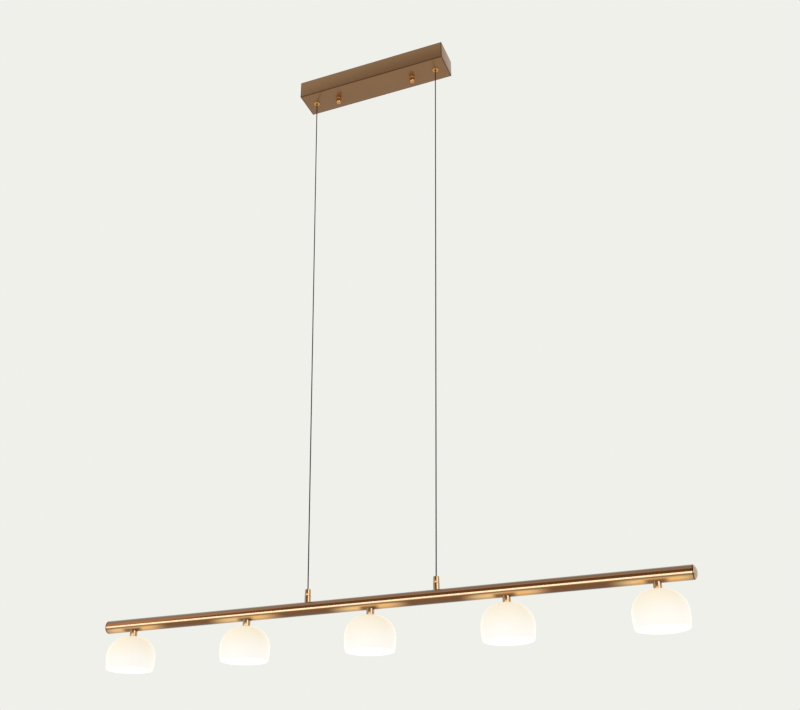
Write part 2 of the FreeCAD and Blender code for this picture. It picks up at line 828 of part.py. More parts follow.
def make_ferrule(side, sign):
    """The flanged ferrule: its seat holds the swivel ball, and its mouth lets the cable swing."""
    name = "cable_ferrule_" + side
    across = size("exit_spacing") * (sign / 2)
    flange_radius = size("ferrule_flange") / 2
    flange_thick = size("ferrule_flange_thick")
    shank_top = size("canopy_sheet") + size("ferrule_nut_thick") + size("wire_gap") * 3
    flange = cylinder(name + "_flange", flange_radius, flange_thick, x=across, z=underside - flange_thick)
    soft = rounded(
        name + "_soft", flange, size("ferrule_round"), round_edge_at(flange_radius, underside - flange_thick)
    )
    shank = cylinder(name + "_shank", size("ferrule_shank") / 2, shank_top, x=across, z=underside)
    solid = fuse(name + "_solid", soft, shank)
    seat_radius = swivel_radius + size("seat_gap")
    seat = sphere(name + "_seat", seat_radius, x=across, z=swivel_height)
    throat = cylinder(name + "_throat", seat_radius, shank_top, x=across, z=swivel_height)
    mouth = cylinder(
        name + "_mouth", size("ferrule_mouth") / 2, flange_thick + size("swivel_rise"),
        x=across, z=underside - flange_thick,
    )
    subpart(name, cut(name + "_cut", solid, seat, throat, mouth))


def make_ferrules():
    nuts = []
    for side, sign in SIDES.items():
        make_ferrule(side, sign)
        across = size("exit_spacing") * (sign / 2)
        thick = size("ferrule_nut_thick")
        seat = underside + size("canopy_sheet")
        blank = hexagon("ferrule_nut_%s_blank" % side, size("ferrule_nut_across"), thick, x=across, z=seat)
        hole = cylinder("ferrule_nut_%s_hole" % side, size("ferrule_shank") / 2 + size("thread_gap"), thick,
                        x=across, z=seat)
        nuts.append(cut("ferrule_nut_" + side, blank, hole))
    subpart("ferrule_lock_nuts", group("ferrule_lock_nuts_group", *nuts))


def make_driver():
    """The low-voltage driver under the bracket, on two ears that take its screws."""
    thick = size("bracket_thick")
    length, width, height = size("driver_length"), size("driver_width"), size("driver_height")
    centre, ear = size("driver_centre"), size("driver_ear")
    case = box("driver_case", length - ear * 2, width, height, x=centre, z=-thick - height)
    ear_thick = size("screw_head_thick")
    ears = box("driver_ears", length, width, ear_thick, x=centre, z=-thick - ear_thick)
    solid = fuse("driver_solid", case, ears)
    holes, screws = [], []
    for side, sign in SIDES.items():
        across = centre + (length - ear) * (sign / 2)
        holes.append(cylinder("driver_hole_" + side, size("screw_size") / 2 + size("hole_gap"), ear_thick,
                              x=across, z=-thick - ear_thick))
        head_seat = -thick - ear_thick - size("screw_head_thick")
        head = cylinder("driver_screw_%s_head" % side, size("screw_head") / 2, size("screw_head_thick"),
                        x=across, z=head_seat)
        shank = cylinder("driver_screw_%s_shank" % side, size("screw_size") / 2,
                         size("screw_head_thick") + ear_thick, x=across, z=head_seat)
        screws.append(fuse("driver_screw_" + side, head, shank))
    subpart("lamp_driver", cut("lamp_driver_cut", solid, *holes))
    subpart("driver_screws", group("driver_screws_group", *screws))


def make_terminal():
    """The supply terminal block, with a row of entry holes, and the earth screw beside it."""
    thick = size("bracket_thick")
    length, width, height = size("terminal_length"), size("terminal_width"), size("terminal_height")
    across, aside = size("terminal_centre"), size("terminal_offset")
    block = box("terminal_blank", length, width, height, x=across, y=aside, z=-thick - height)
    tools = []
    for pole in (-1, 0, 1):
        tools.append(
            cylinder("terminal_entry_%d" % (pole + 2), size("wire_outer") / 2 + size("wire_gap"),
                     width / TERMINAL_POLES,
                     x=across + length * (pole / TERMINAL_POLES), y=aside + width / (TERMINAL_POLES * 2),
                     z=-thick - height / 2, turn=ALONG_Y)
        )
    subpart("supply_terminal", cut("supply_terminal_cut", block, *tools))
    x, y = size("terminal_centre") - size("terminal_length"), size("earth_offset")
    head = cylinder("earth_head", size("screw_head") / 2, size("screw_head_thick"),
                    x=x, y=y, z=-thick - size("screw_head_thick"))
    shank = cylinder("earth_shank", size("screw_size") / 2, size("screw_head_thick") * 2,
                     x=x, y=y, z=-thick - size("screw_head_thick") * 2)
    subpart("earth_screw", fuse("earth_screw_fuse", head, shank))


def make_canopy_wiring():
    """The tails from the two cables to the driver, and the leads from the terminal to it."""
    driver_mid = -size("bracket_thick") - size("driver_height") / 2
    tails = []
    for side, sign in SIDES.items():
        start_x = size("exit_spacing") * (sign / 2)
        start_z = swivel_height + swivel_radius + size("wire_gap")
        end_x = size("driver_centre") + (size("driver_length") / 2 - size("driver_ear")) * sign
        end_y = size("wire_spacing") * sign
        aside = size("driver_width") / 2 * sign
        reach = (start_x - end_x) / 3
        level = start_z + size("tail_rise")
        points = [
            (start_x, ZERO, start_z),
            (start_x, ZERO, level),
            (start_x - reach, aside - end_y, level + size("tail_climb")),
            (start_x - reach * 2, aside, driver_mid),
            (end_x + size("wire_gap") * sign, end_y, driver_mid),
        ]
        tails.append(wire_tube("cable_tail_" + side, points, size("wire_outer")))
    subpart("cable_tails", group("cable_tails_group", *tails))
    leads = []
    block_x, block_y = size("terminal_centre"), size("terminal_offset") + size("terminal_width") / 2
    block_z = -size("bracket_thick") - size("terminal_height") / 2
    driver_end = size("driver_centre") + size("driver_length") / 2 - size("driver_ear")
    for pole in (-1, 0):
        x = block_x + size("terminal_length") * (pole / TERMINAL_POLES)
        far_y = block_y + size("lead_reach") + size("lead_pitch") * pole
        points = [
            (x, block_y - size("terminal_width") / 4, block_z),
            (x, far_y, block_z),
            (driver_end + size("wire_gap"), far_y, block_z + size("lead_pitch") * pole),
        ]
        leads.append(wire_tube("supply_lead_%d" % (pole + 2), points, size("wire_outer")))
    subpart("supply_leads", group("supply_leads_group", *leads))


def check_document():
    """Stops if an object failed or a piece is missing, before anything is written."""
    for thing in doc.Objects:
        for word in ("Invalid", "Error"):
            if word in thing.State:
                raise RuntimeError("%s is %s" % (thing.Name, thing.State))
    for made in subparts:
        if made.Shape.isNull() or not made.Shape.isValid() or not made.Shape.Solids:
            raise RuntimeError("%s has no valid solid" % made.Label)


make_bar()
make_bar_wiring()
make_lamps()
make_suspension()
make_bracket()
make_cover()
make_studs()
make_ferrules()
make_driver()
make_terminal()
make_canopy_wiring()
doc.recompute()
check_document()

os.makedirs("parts", exist_ok=True)
for made in subparts:
    made.Shape.exportStep("parts/%s.step" % made.Label)
    print("%-26s solids %2d  volume %10.1f" % (made.Label, len(made.Shape.Solids), made.Shape.Volume))
print("%d nodes" % len(subparts))
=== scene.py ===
"""Linear island pendant: a bronze canopy, two taut cables and a brass bar with five opal shades.

Metres, +Z up. The origin is the middle of the ceiling face, X runs along the bar and Y goes
from front to back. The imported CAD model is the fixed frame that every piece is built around.
Outlines, and the sizes in Bar, Grips, Shades and Canopy, are in millimetres.
"""
import json
import logging
import math
from dataclasses import dataclass
from enum import Enum
from functools import cached_property
from typing import Any, Callable, Sequence

import bpy
from mathutils import Matrix, Vector


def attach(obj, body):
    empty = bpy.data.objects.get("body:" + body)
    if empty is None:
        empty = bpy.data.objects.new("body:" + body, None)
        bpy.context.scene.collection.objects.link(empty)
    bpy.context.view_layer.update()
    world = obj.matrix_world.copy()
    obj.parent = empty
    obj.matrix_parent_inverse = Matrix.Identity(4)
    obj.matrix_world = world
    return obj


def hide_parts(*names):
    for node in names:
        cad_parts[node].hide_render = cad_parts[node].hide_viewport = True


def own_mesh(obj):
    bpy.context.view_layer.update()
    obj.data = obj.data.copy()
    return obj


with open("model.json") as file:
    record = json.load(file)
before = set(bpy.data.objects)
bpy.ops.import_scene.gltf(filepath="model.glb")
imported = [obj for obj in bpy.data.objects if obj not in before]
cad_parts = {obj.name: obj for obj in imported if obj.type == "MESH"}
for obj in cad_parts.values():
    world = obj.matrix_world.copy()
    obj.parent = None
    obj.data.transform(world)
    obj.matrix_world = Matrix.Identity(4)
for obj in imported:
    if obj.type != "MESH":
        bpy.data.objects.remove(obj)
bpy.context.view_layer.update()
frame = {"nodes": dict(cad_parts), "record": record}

log = logging.getLogger("island_pendant")

MM = 0.001
BAR_AXIS = -1319.0 * MM
TUBE_RADIUS = 13.0 * MM
TUBE_INNER = 11.5 * MM
CANOPY_UNDERSIDE = -46.0 * MM
PITCH = 267.0 * MM
SHADE_PLACES = tuple(PITCH * step for step in (-2, -1, 0, 1, 2))
GRIP_REACH = 133.5 * MM
EXIT_REACH = 160.0 * MM
STUD_REACH = 99.0 * MM

# In millimetres: the nut in the tube that a stem or a grip screws into, the gap behind it, how far
# from the bar's axis the thread ends and a barrel begins, the play between a barrel and its core,
# and the radius of a hole that is left at the middle of a turned end and then filled.
SADDLE_NUT = 4.5
NUT_GAP = 0.3
THREAD_FOOT = TUBE_INNER / MM - SADDLE_NUT - NUT_GAP
BARREL_FOOT = 8.0
SKIN = 0.01
TIP = 0.4

SMOOTH = 32.0  # degrees, past which an edge stays sharp
MERGED = 0.002 * MM  # points nearer than this become one
EQUAL = 1e-9  # shares nearer to 1 than this leave a circle as it is

Pair = tuple[float, float]
Outline = list[Pair]
Point = tuple[float, float, float]
Colour = tuple[float, float, float]
Stops = Sequence[tuple[float, Colour]]
Piece = bpy.types.Object
Material = bpy.types.Material
Node = bpy.types.Node
Socket = bpy.types.NodeSocket


class Side(Enum):
    """The two ends of the pendant, as seen in the photograph."""

    LEFT = -1
    RIGHT = 1

    @property
    def word(self) -> str:
        """The side's name in lower case, as node and body names have it."""
        return self.name.lower()


# ---- shader maths ----


class Field:
    """A number that changes over a surface: a socket with Python's arithmetic."""

    def __init__(self, graph: "Graph", socket: Socket) -> None:
        """Wraps a socket.

        Args:
            graph: the node tree that the socket belongs to.
            socket: an output socket that carries one number.
        """
        self.graph = graph
        self.socket = socket

    def _math(self, operation: str, *values: Any) -> "Field":
        """Adds one Math node.

        Args:
            operation: the Math node's operation.
            values: its inputs, as fields or plain numbers.

        Returns:
            The node's result.
        """
        node = self.graph.node("ShaderNodeMath", dict(enumerate(values)), operation=operation)
        return Field(self.graph, node.outputs[0])

    def __add__(self, other: Any) -> "Field":
        """self + other."""
        return self._math("ADD", self, other)

    __radd__ = __add__

    def __sub__(self, other: Any) -> "Field":
        """self - other."""
        return self._math("SUBTRACT", self, other)

    def __rsub__(self, other: Any) -> "Field":
        """other - self."""
        return self._math("SUBTRACT", other, self)

    def __mul__(self, other: Any) -> "Field":
        """self * other."""
        return self._math("MULTIPLY", self, other)

    __rmul__ = __mul__

    def __truediv__(self, other: Any) -> "Field":
        """self / other."""
        return self._math("DIVIDE", self, other)

    def __pow__(self, other: Any) -> "Field":
        """self to a power."""
        return self._math("POWER", self, other)

    def size(self) -> "Field":
        """The absolute value."""
        return self._math("ABSOLUTE", self)

    def least(self, other: Any) -> "Field":
        """The smaller of two."""
        return self._math("MINIMUM", self, other)

    def most(self, other: Any) -> "Field":
        """The larger of two."""
        return self._math("MAXIMUM", self, other)

    def sine(self) -> "Field":
        """The sine."""
        return self._math("SINE", self)

    def angle(self, other: Any) -> "Field":
        """The angle of the point that is other along and self up."""
        return self._math("ARCTAN2", self, other)

    def folded(self, reach: float) -> "Field":
        """The distance to the nearest multiple of twice the reach."""
        return self._math("PINGPONG", self, reach)

    def ramp(self, low: float, high: float) -> "Field":
        """A smooth step.

        Args:
            low: the value at which the result is 0.
            high: the value at which it is 1.

        Returns:
            The step, from 0 to 1.
        """
        inputs = {"Value": self, "From Min": low, "From Max": high}
        node = self.graph.node("ShaderNodeMapRange", inputs, interpolation_type="SMOOTHSTEP")
        return Field(self.graph, node.outputs[0])


class Graph:
    """A material, or the world, and its node tree."""

    def __init__(self, name: str, world: bool = False) -> None:
        """Starts an empty material or world.

        Args:
            name: its name.
            world: whether it is a world.
        """
        self.owner = (bpy.data.worlds if world else bpy.data.materials).new(name)
        self.owner.use_nodes = True
        self.tree = self.owner.node_tree
        self.tree.nodes.clear()

    @cached_property
    def place(self) -> Socket:
        """The object coordinates."""
        return self.node("ShaderNodeTexCoord").outputs["Object"]

    def node(self, kind: str, inputs: dict[Any, Any] | None = None, **settings: Any) -> Node:
        """Adds any node.

        Args:
            kind: the node's type.
            inputs: values, fields or sockets, by the input's name or number.
            settings: its properties, or a ramp's stops, which are set before its sockets.

        Returns:
            The node.
        """
        made = self.tree.nodes.new(kind)
        for key, value in settings.items():
            if key == "stops":
                self._set_stops(made, value)
            else:
                setattr(made, key, value)
        for key, value in (inputs or {}).items():
            target = made.inputs[key]
            if isinstance(value, Field):
                value = value.socket
            if isinstance(value, Socket):
                self.tree.links.new(value, target)
            else:
                target.default_value = value
        return made

    def _set_stops(self, ramp: Node, stops: Stops) -> None:
        """Gives a colour ramp its stops.

        Args:
            ramp: a Color Ramp node.
            stops: (place, colour) pairs in rising order.
        """
        elements = ramp.color_ramp.elements
        while len(elements) > 1:
            elements.remove(elements[-1])
        for number, (where, colour) in enumerate(stops):
            element = elements[0] if number == 0 else elements.new(where)
            element.position = where
            element.color = (*colour, 1.0)

    def along(self) -> tuple[Field, Field, Field]:
        """The object coordinates, one field for each axis."""
        split = self.node("ShaderNodeSeparateXYZ", {0: self.place})
        return tuple(Field(self, split.outputs[axis]) for axis in range(3))

    def stretched(self, scale: float | Point) -> Socket:
        """Object coordinates, scaled.

        Args:
            scale: the factor, or the three factors along the axes.

        Returns:
            The vector socket.
        """
        factors = scale if isinstance(scale, tuple) else (scale,) * 3
        scaled = self.node("ShaderNodeVectorMath", {0: self.place, 1: factors}, operation="MULTIPLY")
        return scaled.outputs[0]

    def noise(self, scale: float | Point, detail: float = 2.0, rough: float = 0.5) -> Field:
        """Noise from 0 to 1.

        Args:
            scale: how many features to a metre, in all directions or along each axis.
            detail: the number of octaves.
            rough: how strong the finer octaves are.

        Returns:
            The noise.
        """
        inputs = {"Vector": self.stretched(scale), "Scale": 1.0, "Detail": detail, "Roughness": rough}
        return Field(self, self.node("ShaderNodeTexNoise", inputs).outputs[0])

    def mixed(self, factor: Any, first: Any, second: Any) -> Socket:
        """Mixes two colours.

        Args:
            factor: 0 for the first, 1 for the second.
            first: a colour or a colour socket.
            second: a colour or a colour socket.

        Returns:
            The colour socket.
        """
        sides = [(*side, 1.0) if isinstance(side, tuple) else side for side in (first, second)]
        # The node has sockets for numbers and vectors too: 6, 7 and 2 are those for colours.
        made = self.node("ShaderNodeMix", {0: factor, 6: sides[0], 7: sides[1]}, data_type="RGBA")
        return made.outputs[2]

    def tones(self, value: Field, stops: Stops) -> Socket:
        """Looks a number up in a row of colours.

        Args:
            value: a field from 0 to 1.
            stops: (place, colour) pairs in rising order.

        Returns:
            The colour socket.
        """
        return self.node("ShaderNodeValToRGB", {0: value}, stops=stops).outputs[0]

    def bump(self, height: Field, strength: float, distance: float) -> Socket:
        """Turns a height into a normal.

        Args:
            height: the height, from 0 to 1.
            strength: how much of it is used.
            distance: how high 1 is, in metres.

        Returns:
            The normal socket.
        """
        inputs = {"Strength": strength, "Distance": distance, "Height": height}
        return self.node("ShaderNodeBump", inputs).outputs[0]

    def finish(self, **sockets: Any) -> Material:
        """Adds the surface shader and the output.

        Args:
            sockets: the shader's inputs, with underscores for spaces.

        Returns:
            The finished material.
        """
        inputs = {}
        for key, value in sockets.items():
            inputs[key.replace("_", " ")] = (*value, 1.0) if isinstance(value, tuple) else value
        shader = self.node("ShaderNodeBsdfPrincipled", inputs)
        self.node("ShaderNodeOutputMaterial", {0: shader.outputs[0]})
        return self.owner


def srgb(*parts: int) -> Colour:
    """A colour as a picture has it, made linear.

    Args:
        parts: red, green and blue, each 0 to 255.

    Returns:
        The linear colour.
    """

    def linear(share: float) -> float:
        """One channel, made linear."""
        return share / 12.92 if share <= 0.04045 else ((share + 0.055) / 1.055) ** 2.4

    return tuple(linear(part / 255) for part in parts)


# ---- finishes ----


@dataclass(frozen=True)
class AgedBrass:
    """Brushed antique brass under lacquer, brown, with painted reflection and shade round the tube: a
    painted highlight band just below the middle, darker and greyer towards the top, darker towards
    the foot. Near the shades the lower half is a painted reflection of their glow in gold, and round
    each stem's foot the tube is darkened as painted shade.
    """

    # Tones from the top of the tube to its foot: the brass's brown with painted reflection and shade, where
    # line is a painted highlight band; gold and gold_foot are a painted reflection of the shades' glow.
    top: Colour = srgb(134, 112, 94)
    upper: Colour = srgb(126, 97, 72)
    brown: Colour = srgb(184, 120, 68)
    middle: Colour = srgb(180, 112, 58)
    line: Colour = srgb(204, 172, 138)
    low: Colour = srgb(122, 78, 36)
    foot: Colour = srgb(72, 44, 28)
    gold: Colour = srgb(250, 206, 142)
    gold_foot: Colour = srgb(196, 150, 100)
    end: Colour = srgb(192, 170, 152)
    painted_stem_shade: Colour = srgb(104, 58, 34)
    streak: Colour = srgb(70, 42, 24)
    seam: Colour = srgb(66, 38, 22)
    seam_place: float = 596.0 * MM
    seam_edges: Pair = (1.4 * MM, 0.6 * MM)
    rim_place: float = 597.5 * MM
    rim_blend: float = 0.8 * MM
    gold_edges: Pair = (90.0 * MM, 35.0 * MM)
    corner_edges: Pair = (26.0 * MM, 12.0 * MM)

    def build(self) -> Material:
        """Builds the material.

        Returns:
            The material.
        """
        graph = Graph("antique_brass")
        along, _, up = graph.along()
        turn = (up - BAR_AXIS) / TUBE_RADIUS * 0.5 + 0.5
        lines = graph.noise((2.0, 700.0, 700.0), 3.0, 0.55)
        fine = graph.noise((12.0, 3600.0, 3600.0))
        cloud = graph.noise((9.0, 30.0, 30.0))
        level = turn + (lines - 0.5) * 0.02
        # The ramp round the tube paints reflection and shade: a painted highlight band (line), darker and
        # greyer towards the top, darker towards the foot.
        above = [
            (0.31, self.low), (0.36, self.line), (0.45, self.line), (0.5, self.middle),
            (0.62, self.brown), (0.78, self.upper), (1.0, self.top),
        ]
        plain = graph.tones(level, [(0.0, self.foot), (0.08, self.low), *above])
        # Near each shade the lower half takes a painted reflection of the shade's glow in gold, fading out
        # between the shades.
        glow_reflection = graph.tones(level, [(0.0, self.gold_foot), (0.1, self.gold), (0.19, self.gold), *above])
        from_shade = along.folded(PITCH / 2) + (cloud - 0.5) * 0.02
        with_glow = graph.mixed(from_shade.ramp(*self.gold_edges), plain, glow_reflection)
        # Painted shade on the tube's underside round each stem's foot.
        corner = from_shade.ramp(*self.corner_edges) * turn.ramp(0.27, 0.12)
        colour = graph.mixed(corner * 0.85, with_glow, self.painted_stem_shade)
        toned = graph.mixed((fine - 0.4) * 0.3 + (lines - 0.5) * 0.3, colour, self.streak)
        far = along.size()
        joint = (far - self.seam_place).size().ramp(*self.seam_edges)
        capped = graph.mixed(far.ramp(self.rim_place, self.rim_place + self.rim_blend), toned, self.end)
        return graph.finish(
            Base_Color=graph.mixed(joint * 0.8, capped, self.seam),
            Metallic=1.0,
            Roughness=0.17 + (lines - 0.5) * 0.06 + (cloud - 0.5) * 0.05,
            Normal=graph.bump(lines * 0.6 + fine * 0.4, 0.03, 0.03 * MM),
            Coat_Weight=0.6,
            Coat_Roughness=0.08,
        )


@dataclass(frozen=True)
class PolishedBrass:
    """Lacquered brass turned on a lathe, with fine rings: pale at the bar and warmer at the canopy."""

    bright: Colour = srgb(190, 156, 118)
    deep: Colour = srgb(136, 96, 56)
    warm: Colour = srgb(204, 146, 78)
    canopy_edges: Pair = (-200.0 * MM, -100.0 * MM)

    def build(self) -> Material:
        """Builds the material.

        Returns:
            The material.
        """
        graph = Graph("polished_brass")
        _, _, up = graph.along()
        rings = graph.noise((60.0, 60.0, 5200.0))
        cloud = graph.noise((150.0, 150.0, 90.0), 3.0, 0.6)
        pale = graph.mixed((cloud - 0.3) * 0.9, self.bright, self.deep)
        return graph.finish(
            Base_Color=graph.mixed(up.ramp(*self.canopy_edges), pale, self.warm),
            Metallic=1.0,
            Roughness=0.1 + cloud * 0.08 + (rings - 0.5) * 0.05,
            Normal=graph.bump(rings, 0.12, 0.02 * MM),
            Coat_Weight=0.5,
            Coat_Roughness=0.05,
        )


@dataclass(frozen=True)
class BronzePaint:
    """Satin bronze on folded sheet: a fine metallic grain, darker along its edges."""

    body: Colour = srgb(140, 105, 71)
    shade: Colour = srgb(126, 92, 60)
    edge: Colour = srgb(84, 50, 24)
    half_length: float = 189.0 * MM
    half_width: float = 36.0 * MM
    edge_fades: Pair = (0.9 * MM, 2.8 * MM)

    def build(self) -> Material:
        """Builds the material.

        Returns:
            The material.
        """
        graph = Graph("bronze_paint")
        along, across, up = graph.along()
        grain = graph.noise(2600.0, rough=0.6)
        brush = graph.noise((26.0, 900.0, 900.0), 3.0, 0.55)
        cloud = graph.noise((9.0, 20.0, 20.0), 3.0)
        end = self.half_length - along.size()
        side = self.half_width - across.size()
        floor = up - CANOPY_UNDERSIDE
        nearest = end.most(side).least(end.most(floor)).least(side.most(floor))
        line = 1 - (nearest + (cloud - 0.5) * (1.2 * MM)).ramp(*self.edge_fades)
        tone = graph.mixed((cloud - 0.3) * 0.5 + (brush - 0.5) * 0.3, self.body, self.shade)
        return graph.finish(
            Base_Color=graph.mixed(line * 0.95, tone, self.edge),
            Metallic=0.55,
            Roughness=0.24 + (grain - 0.5) * 0.12 + (brush - 0.5) * 0.08,
            Normal=graph.bump(grain * 0.6 + brush * 0.4, 0.22, 0.06 * MM),
        )


@dataclass(frozen=True)
class OpalGlass:
    """Lit opal glass: cream at the crown, white where the lamp is behind it and on the inside."""

    crown: Colour = (1.0, 0.9, 0.71)
    middle: Colour = (1.0, 0.94, 0.8)
    low: Colour = (1.0, 0.98, 0.93)
    lit: Colour = (1.3, 1.27, 1.2)
    skin_top: Colour = (0.3, 0.26, 0.2)
    skin_foot: Colour = (0.34, 0.32, 0.29)
    crown_height: float = -1343.0 * MM
    height: float = 66.0 * MM
    inside_edges: Pair = (45.6 * MM, 44.8 * MM)

    def build(self) -> Material:
        """Builds the material.

        Returns:
            The material.
        """
        graph = Graph("opal_glass")
        along, across, up = graph.along()
        out = (along.folded(PITCH / 2) ** 2 + across.size() ** 2) ** 0.5
        cloud = graph.noise(30.0)
        down = (self.crown_height - up) / self.height + (cloud - 0.5) * 0.06
        stops = [(0.0, self.crown), (0.16, self.crown), (0.42, self.middle), (0.8, self.low), (1.0, self.low)]
        ripple = graph.noise((70.0, 70.0, 40.0), rough=0.4)
        within = down.ramp(0.4, 0.6) * out.ramp(*self.inside_edges)
        return graph.finish(
            Base_Color=graph.mixed(down, self.skin_top, self.skin_foot),
            Roughness=0.28 + cloud * 0.06,
            IOR=1.45,
            Specular_IOR_Level=0.08,
            Emission_Color=graph.mixed(within, graph.tones(down, stops), self.lit),
            Emission_Strength=0.7,
            Normal=graph.bump(ripple, 0.1, 0.3 * MM),
        )


@dataclass(frozen=True)
class SheetMetal:
    """Zinc plated steel: pale blue-grey crystals under a thin passivated film."""

    pale: Colour = srgb(186, 190, 196)
    deep: Colour = srgb(150, 156, 164)
    film: Colour = srgb(196, 186, 160)

    def build(self) -> Material:
        """Builds the material.

        Returns:
            The material.
        """
        graph = Graph("zinc_steel")
        cells = graph.node("ShaderNodeTexVoronoi", {"Vector": graph.stretched(220.0), "Scale": 1.0})
        spangle = Field(graph, cells.outputs[0])
        cloud = graph.noise(30.0, 3.0)
        lines = graph.noise((40.0, 1500.0, 1500.0))
        tone = graph.mixed(spangle, self.pale, self.deep)
        return graph.finish(
            Base_Color=graph.mixed((cloud - 0.35) * 0.8, tone, self.film),
            Metallic=1.0,
            Roughness=0.3 + spangle * 0.12,
            Normal=graph.bump(lines, 0.2, 0.04 * MM),
        )


@dataclass(frozen=True)
class Ceramic:
    """White glazed ceramic with a few faint specks."""

    glaze: Colour = (0.82, 0.8, 0.75)
    speck: Colour = (0.55, 0.5, 0.42)

    def build(self) -> Material:
        """Builds the material.

        Returns:
            The material.
        """
        graph = Graph("white_ceramic")
        specks = graph.noise(900.0, rough=0.4).ramp(0.68, 0.76)
        pores = graph.noise(350.0, 3.0)
        return graph.finish(
            Base_Color=graph.mixed(specks, self.glaze, self.speck),
            Roughness=0.22 + pores * 0.2,
            Normal=graph.bump(pores, 0.15, 0.2 * MM),
        )


@dataclass(frozen=True)
class LampGlass:
    """A lit frosted capsule, brightest at its middle, with metal pins at the top."""

    hot: Colour = (1.0, 0.93, 0.78)
    warm: Colour = (1.0, 0.88, 0.66)
    dim: Colour = (0.95, 0.7, 0.42)
    frost: Colour = (0.9, 0.88, 0.82)
    pin: Colour = (0.6, 0.6, 0.6)
    middle: float = -1383.0 * MM
    half_length: float = 14.0 * MM
    pin_edges: Pair = (-1370.0 * MM, -1369.8 * MM)

    def build(self) -> Material:
        """Builds the material.

        Returns:
            The material.
        """
        graph = Graph("lamp_glass")
        _, _, up = graph.along()
        away = ((up - self.middle) / self.half_length).size()
        heat = graph.tones(away, [(0.0, self.hot), (0.6, self.warm), (1.0, self.dim)])
        pin = up.ramp(*self.pin_edges)
        return graph.finish(
            Base_Color=graph.mixed(pin, self.frost, self.pin),
            Metallic=pin,
            Roughness=0.25 + graph.noise(800.0) * 0.2,
            Emission_Color=graph.mixed(pin, heat, (0.0, 0.0, 0.0)),
            Emission_Strength=1.6,
        )


@dataclass(frozen=True)
class CableSheath:
    """A dark grey sheath over fine strands, whose twist shows faintly."""

    light: Colour = srgb(30, 28, 29)
    dark: Colour = srgb(12, 11, 12)
    twist: float = 420.0
    strands: float = 3.0
    reach: float = 147.0 * MM

    def build(self) -> Material:
        """Builds the material.

        Returns:
            The material.
        """
        graph = Graph("grey_cable")
        along, across, up = graph.along()
        angle = across.angle(along.size() - self.reach)
        wave = (up * self.twist + angle * self.strands).sine() * 0.5 + 0.5
        scuff = graph.noise((1200.0, 1200.0, 60.0))
        return graph.finish(
            Base_Color=graph.mixed(wave * 0.5 + scuff * 0.3, self.light, self.dark),
            Roughness=0.42 + scuff * 0.2,
            Specular_IOR_Level=0.2,
            Normal=graph.bump(wave, 0.3, 0.1 * MM),
        )


@dataclass(frozen=True)
class PlainCompound:
    """A moulded plastic or rubber with a fine grain."""

    name: str
    colour: Colour
    rough: float
    grain: float

    def build(self) -> Material:
        """Builds the material.

        Returns:
            The material.
        """
        graph = Graph(self.name)
        grain = graph.noise(self.grain)
        cloud = graph.noise(50.0)
        darker = tuple(part * 0.8 for part in self.colour)
        return graph.finish(
            Base_Color=graph.mixed(cloud * 0.5 + grain * 0.3, self.colour, darker),
            Roughness=self.rough + (grain - 0.5) * 0.2,
            Normal=graph.bump(grain, 0.2, 0.1 * MM),
        )


class Finishes:
    """The material of each slot in the record."""

    def __init__(self) -> None:
        """Builds every finish once."""
        self.materials = {
            "antique_brass": AgedBrass().build(),
            "polished_brass": PolishedBrass().build(),
            "bronze_paint": BronzePaint().build(),
            "opal_glass": OpalGlass().build(),
            "zinc_steel": SheetMetal().build(),
            "white_ceramic": Ceramic().build(),
            "lamp_glass": LampGlass().build(),
            "grey_cable": CableSheath().build(),
        }
        for compound in (
            PlainCompound("silicone", srgb(222, 218, 206), rough=0.5, grain=600.0),
            PlainCompound("white_plastic", srgb(226, 224, 216), rough=0.42, grain=1400.0),
            PlainCompound("wire_sleeve", srgb(190, 186, 176), rough=0.4, grain=900.0),
        ):
            self.materials[compound.name] = compound.build()

    def dress_nodes(self) -> None:
        """Gives every CAD node that still shows its slot's finish."""
        slots = {row["node"]: row["material_slot"] for row in frame["record"]["subparts"]}
        for name, node in frame["nodes"].items():
            if node.hide_render:
                continue
            if not node.material_slots:
                node.data.materials.append(None)
            for place in node.material_slots:
                place.material = self.materials[slots[name]]


# ---- the bench: what every piece is modelled with ----


def deselect() -> None:
    """Goes to object mode with nothing selected, because an operator acts on all that is."""
    if bpy.context.object is not None and bpy.context.object.mode != "OBJECT":
        bpy.ops.object.mode_set(mode="OBJECT")
    bpy.ops.object.select_all(action="DESELECT")


def pick(*pieces: Piece) -> None:
    """Selects these pieces only.

    Args:
        pieces: the pieces, the last of which becomes the active one.
    """
    deselect()
    for piece in pieces:
        piece.select_set(True)
    bpy.context.view_layer.objects.active = pieces[-1]


def named(piece: Piece, name: str) -> Piece:
    """Gives a piece and its data one name, and hands the piece back."""
    piece.name = piece.data.name = name
    return piece


def seat(piece: Piece) -> Piece:
    """Puts a piece's place, turn and scale into its mesh.

    Args:
        piece: the piece.

    Returns:
        The same piece, at the origin.
    """
    pick(piece)
    bpy.ops.object.transform_apply(location=True, rotation=True, scale=True)
    return piece


def smooth_active(degrees: float = SMOOTH) -> None:
    """Shades the active piece smooth, but for edges sharper than this angle."""
    bpy.ops.object.shade_smooth_by_angle(angle=math.radians(degrees))


def choose(piece: Piece, kind: str, wanted: Callable[[Any], bool]) -> None:
    """Goes to edit mode with some of the active piece's faces or edges selected.

    Args:
        piece: the active piece.
        kind: "FACE" or "EDGE".
        wanted: tells whether a face or an edge is selected.
    """
    bpy.ops.object.mode_set(mode="EDIT")
    bpy.ops.mesh.select_mode(type=kind)
    bpy.ops.mesh.select_all(action="DESELECT")
    bpy.ops.object.mode_set(mode="OBJECT")
    for part in piece.data.polygons if kind == "FACE" else piece.data.edges:
        part.select = wanted(part)
    bpy.ops.object.mode_set(mode="EDIT")


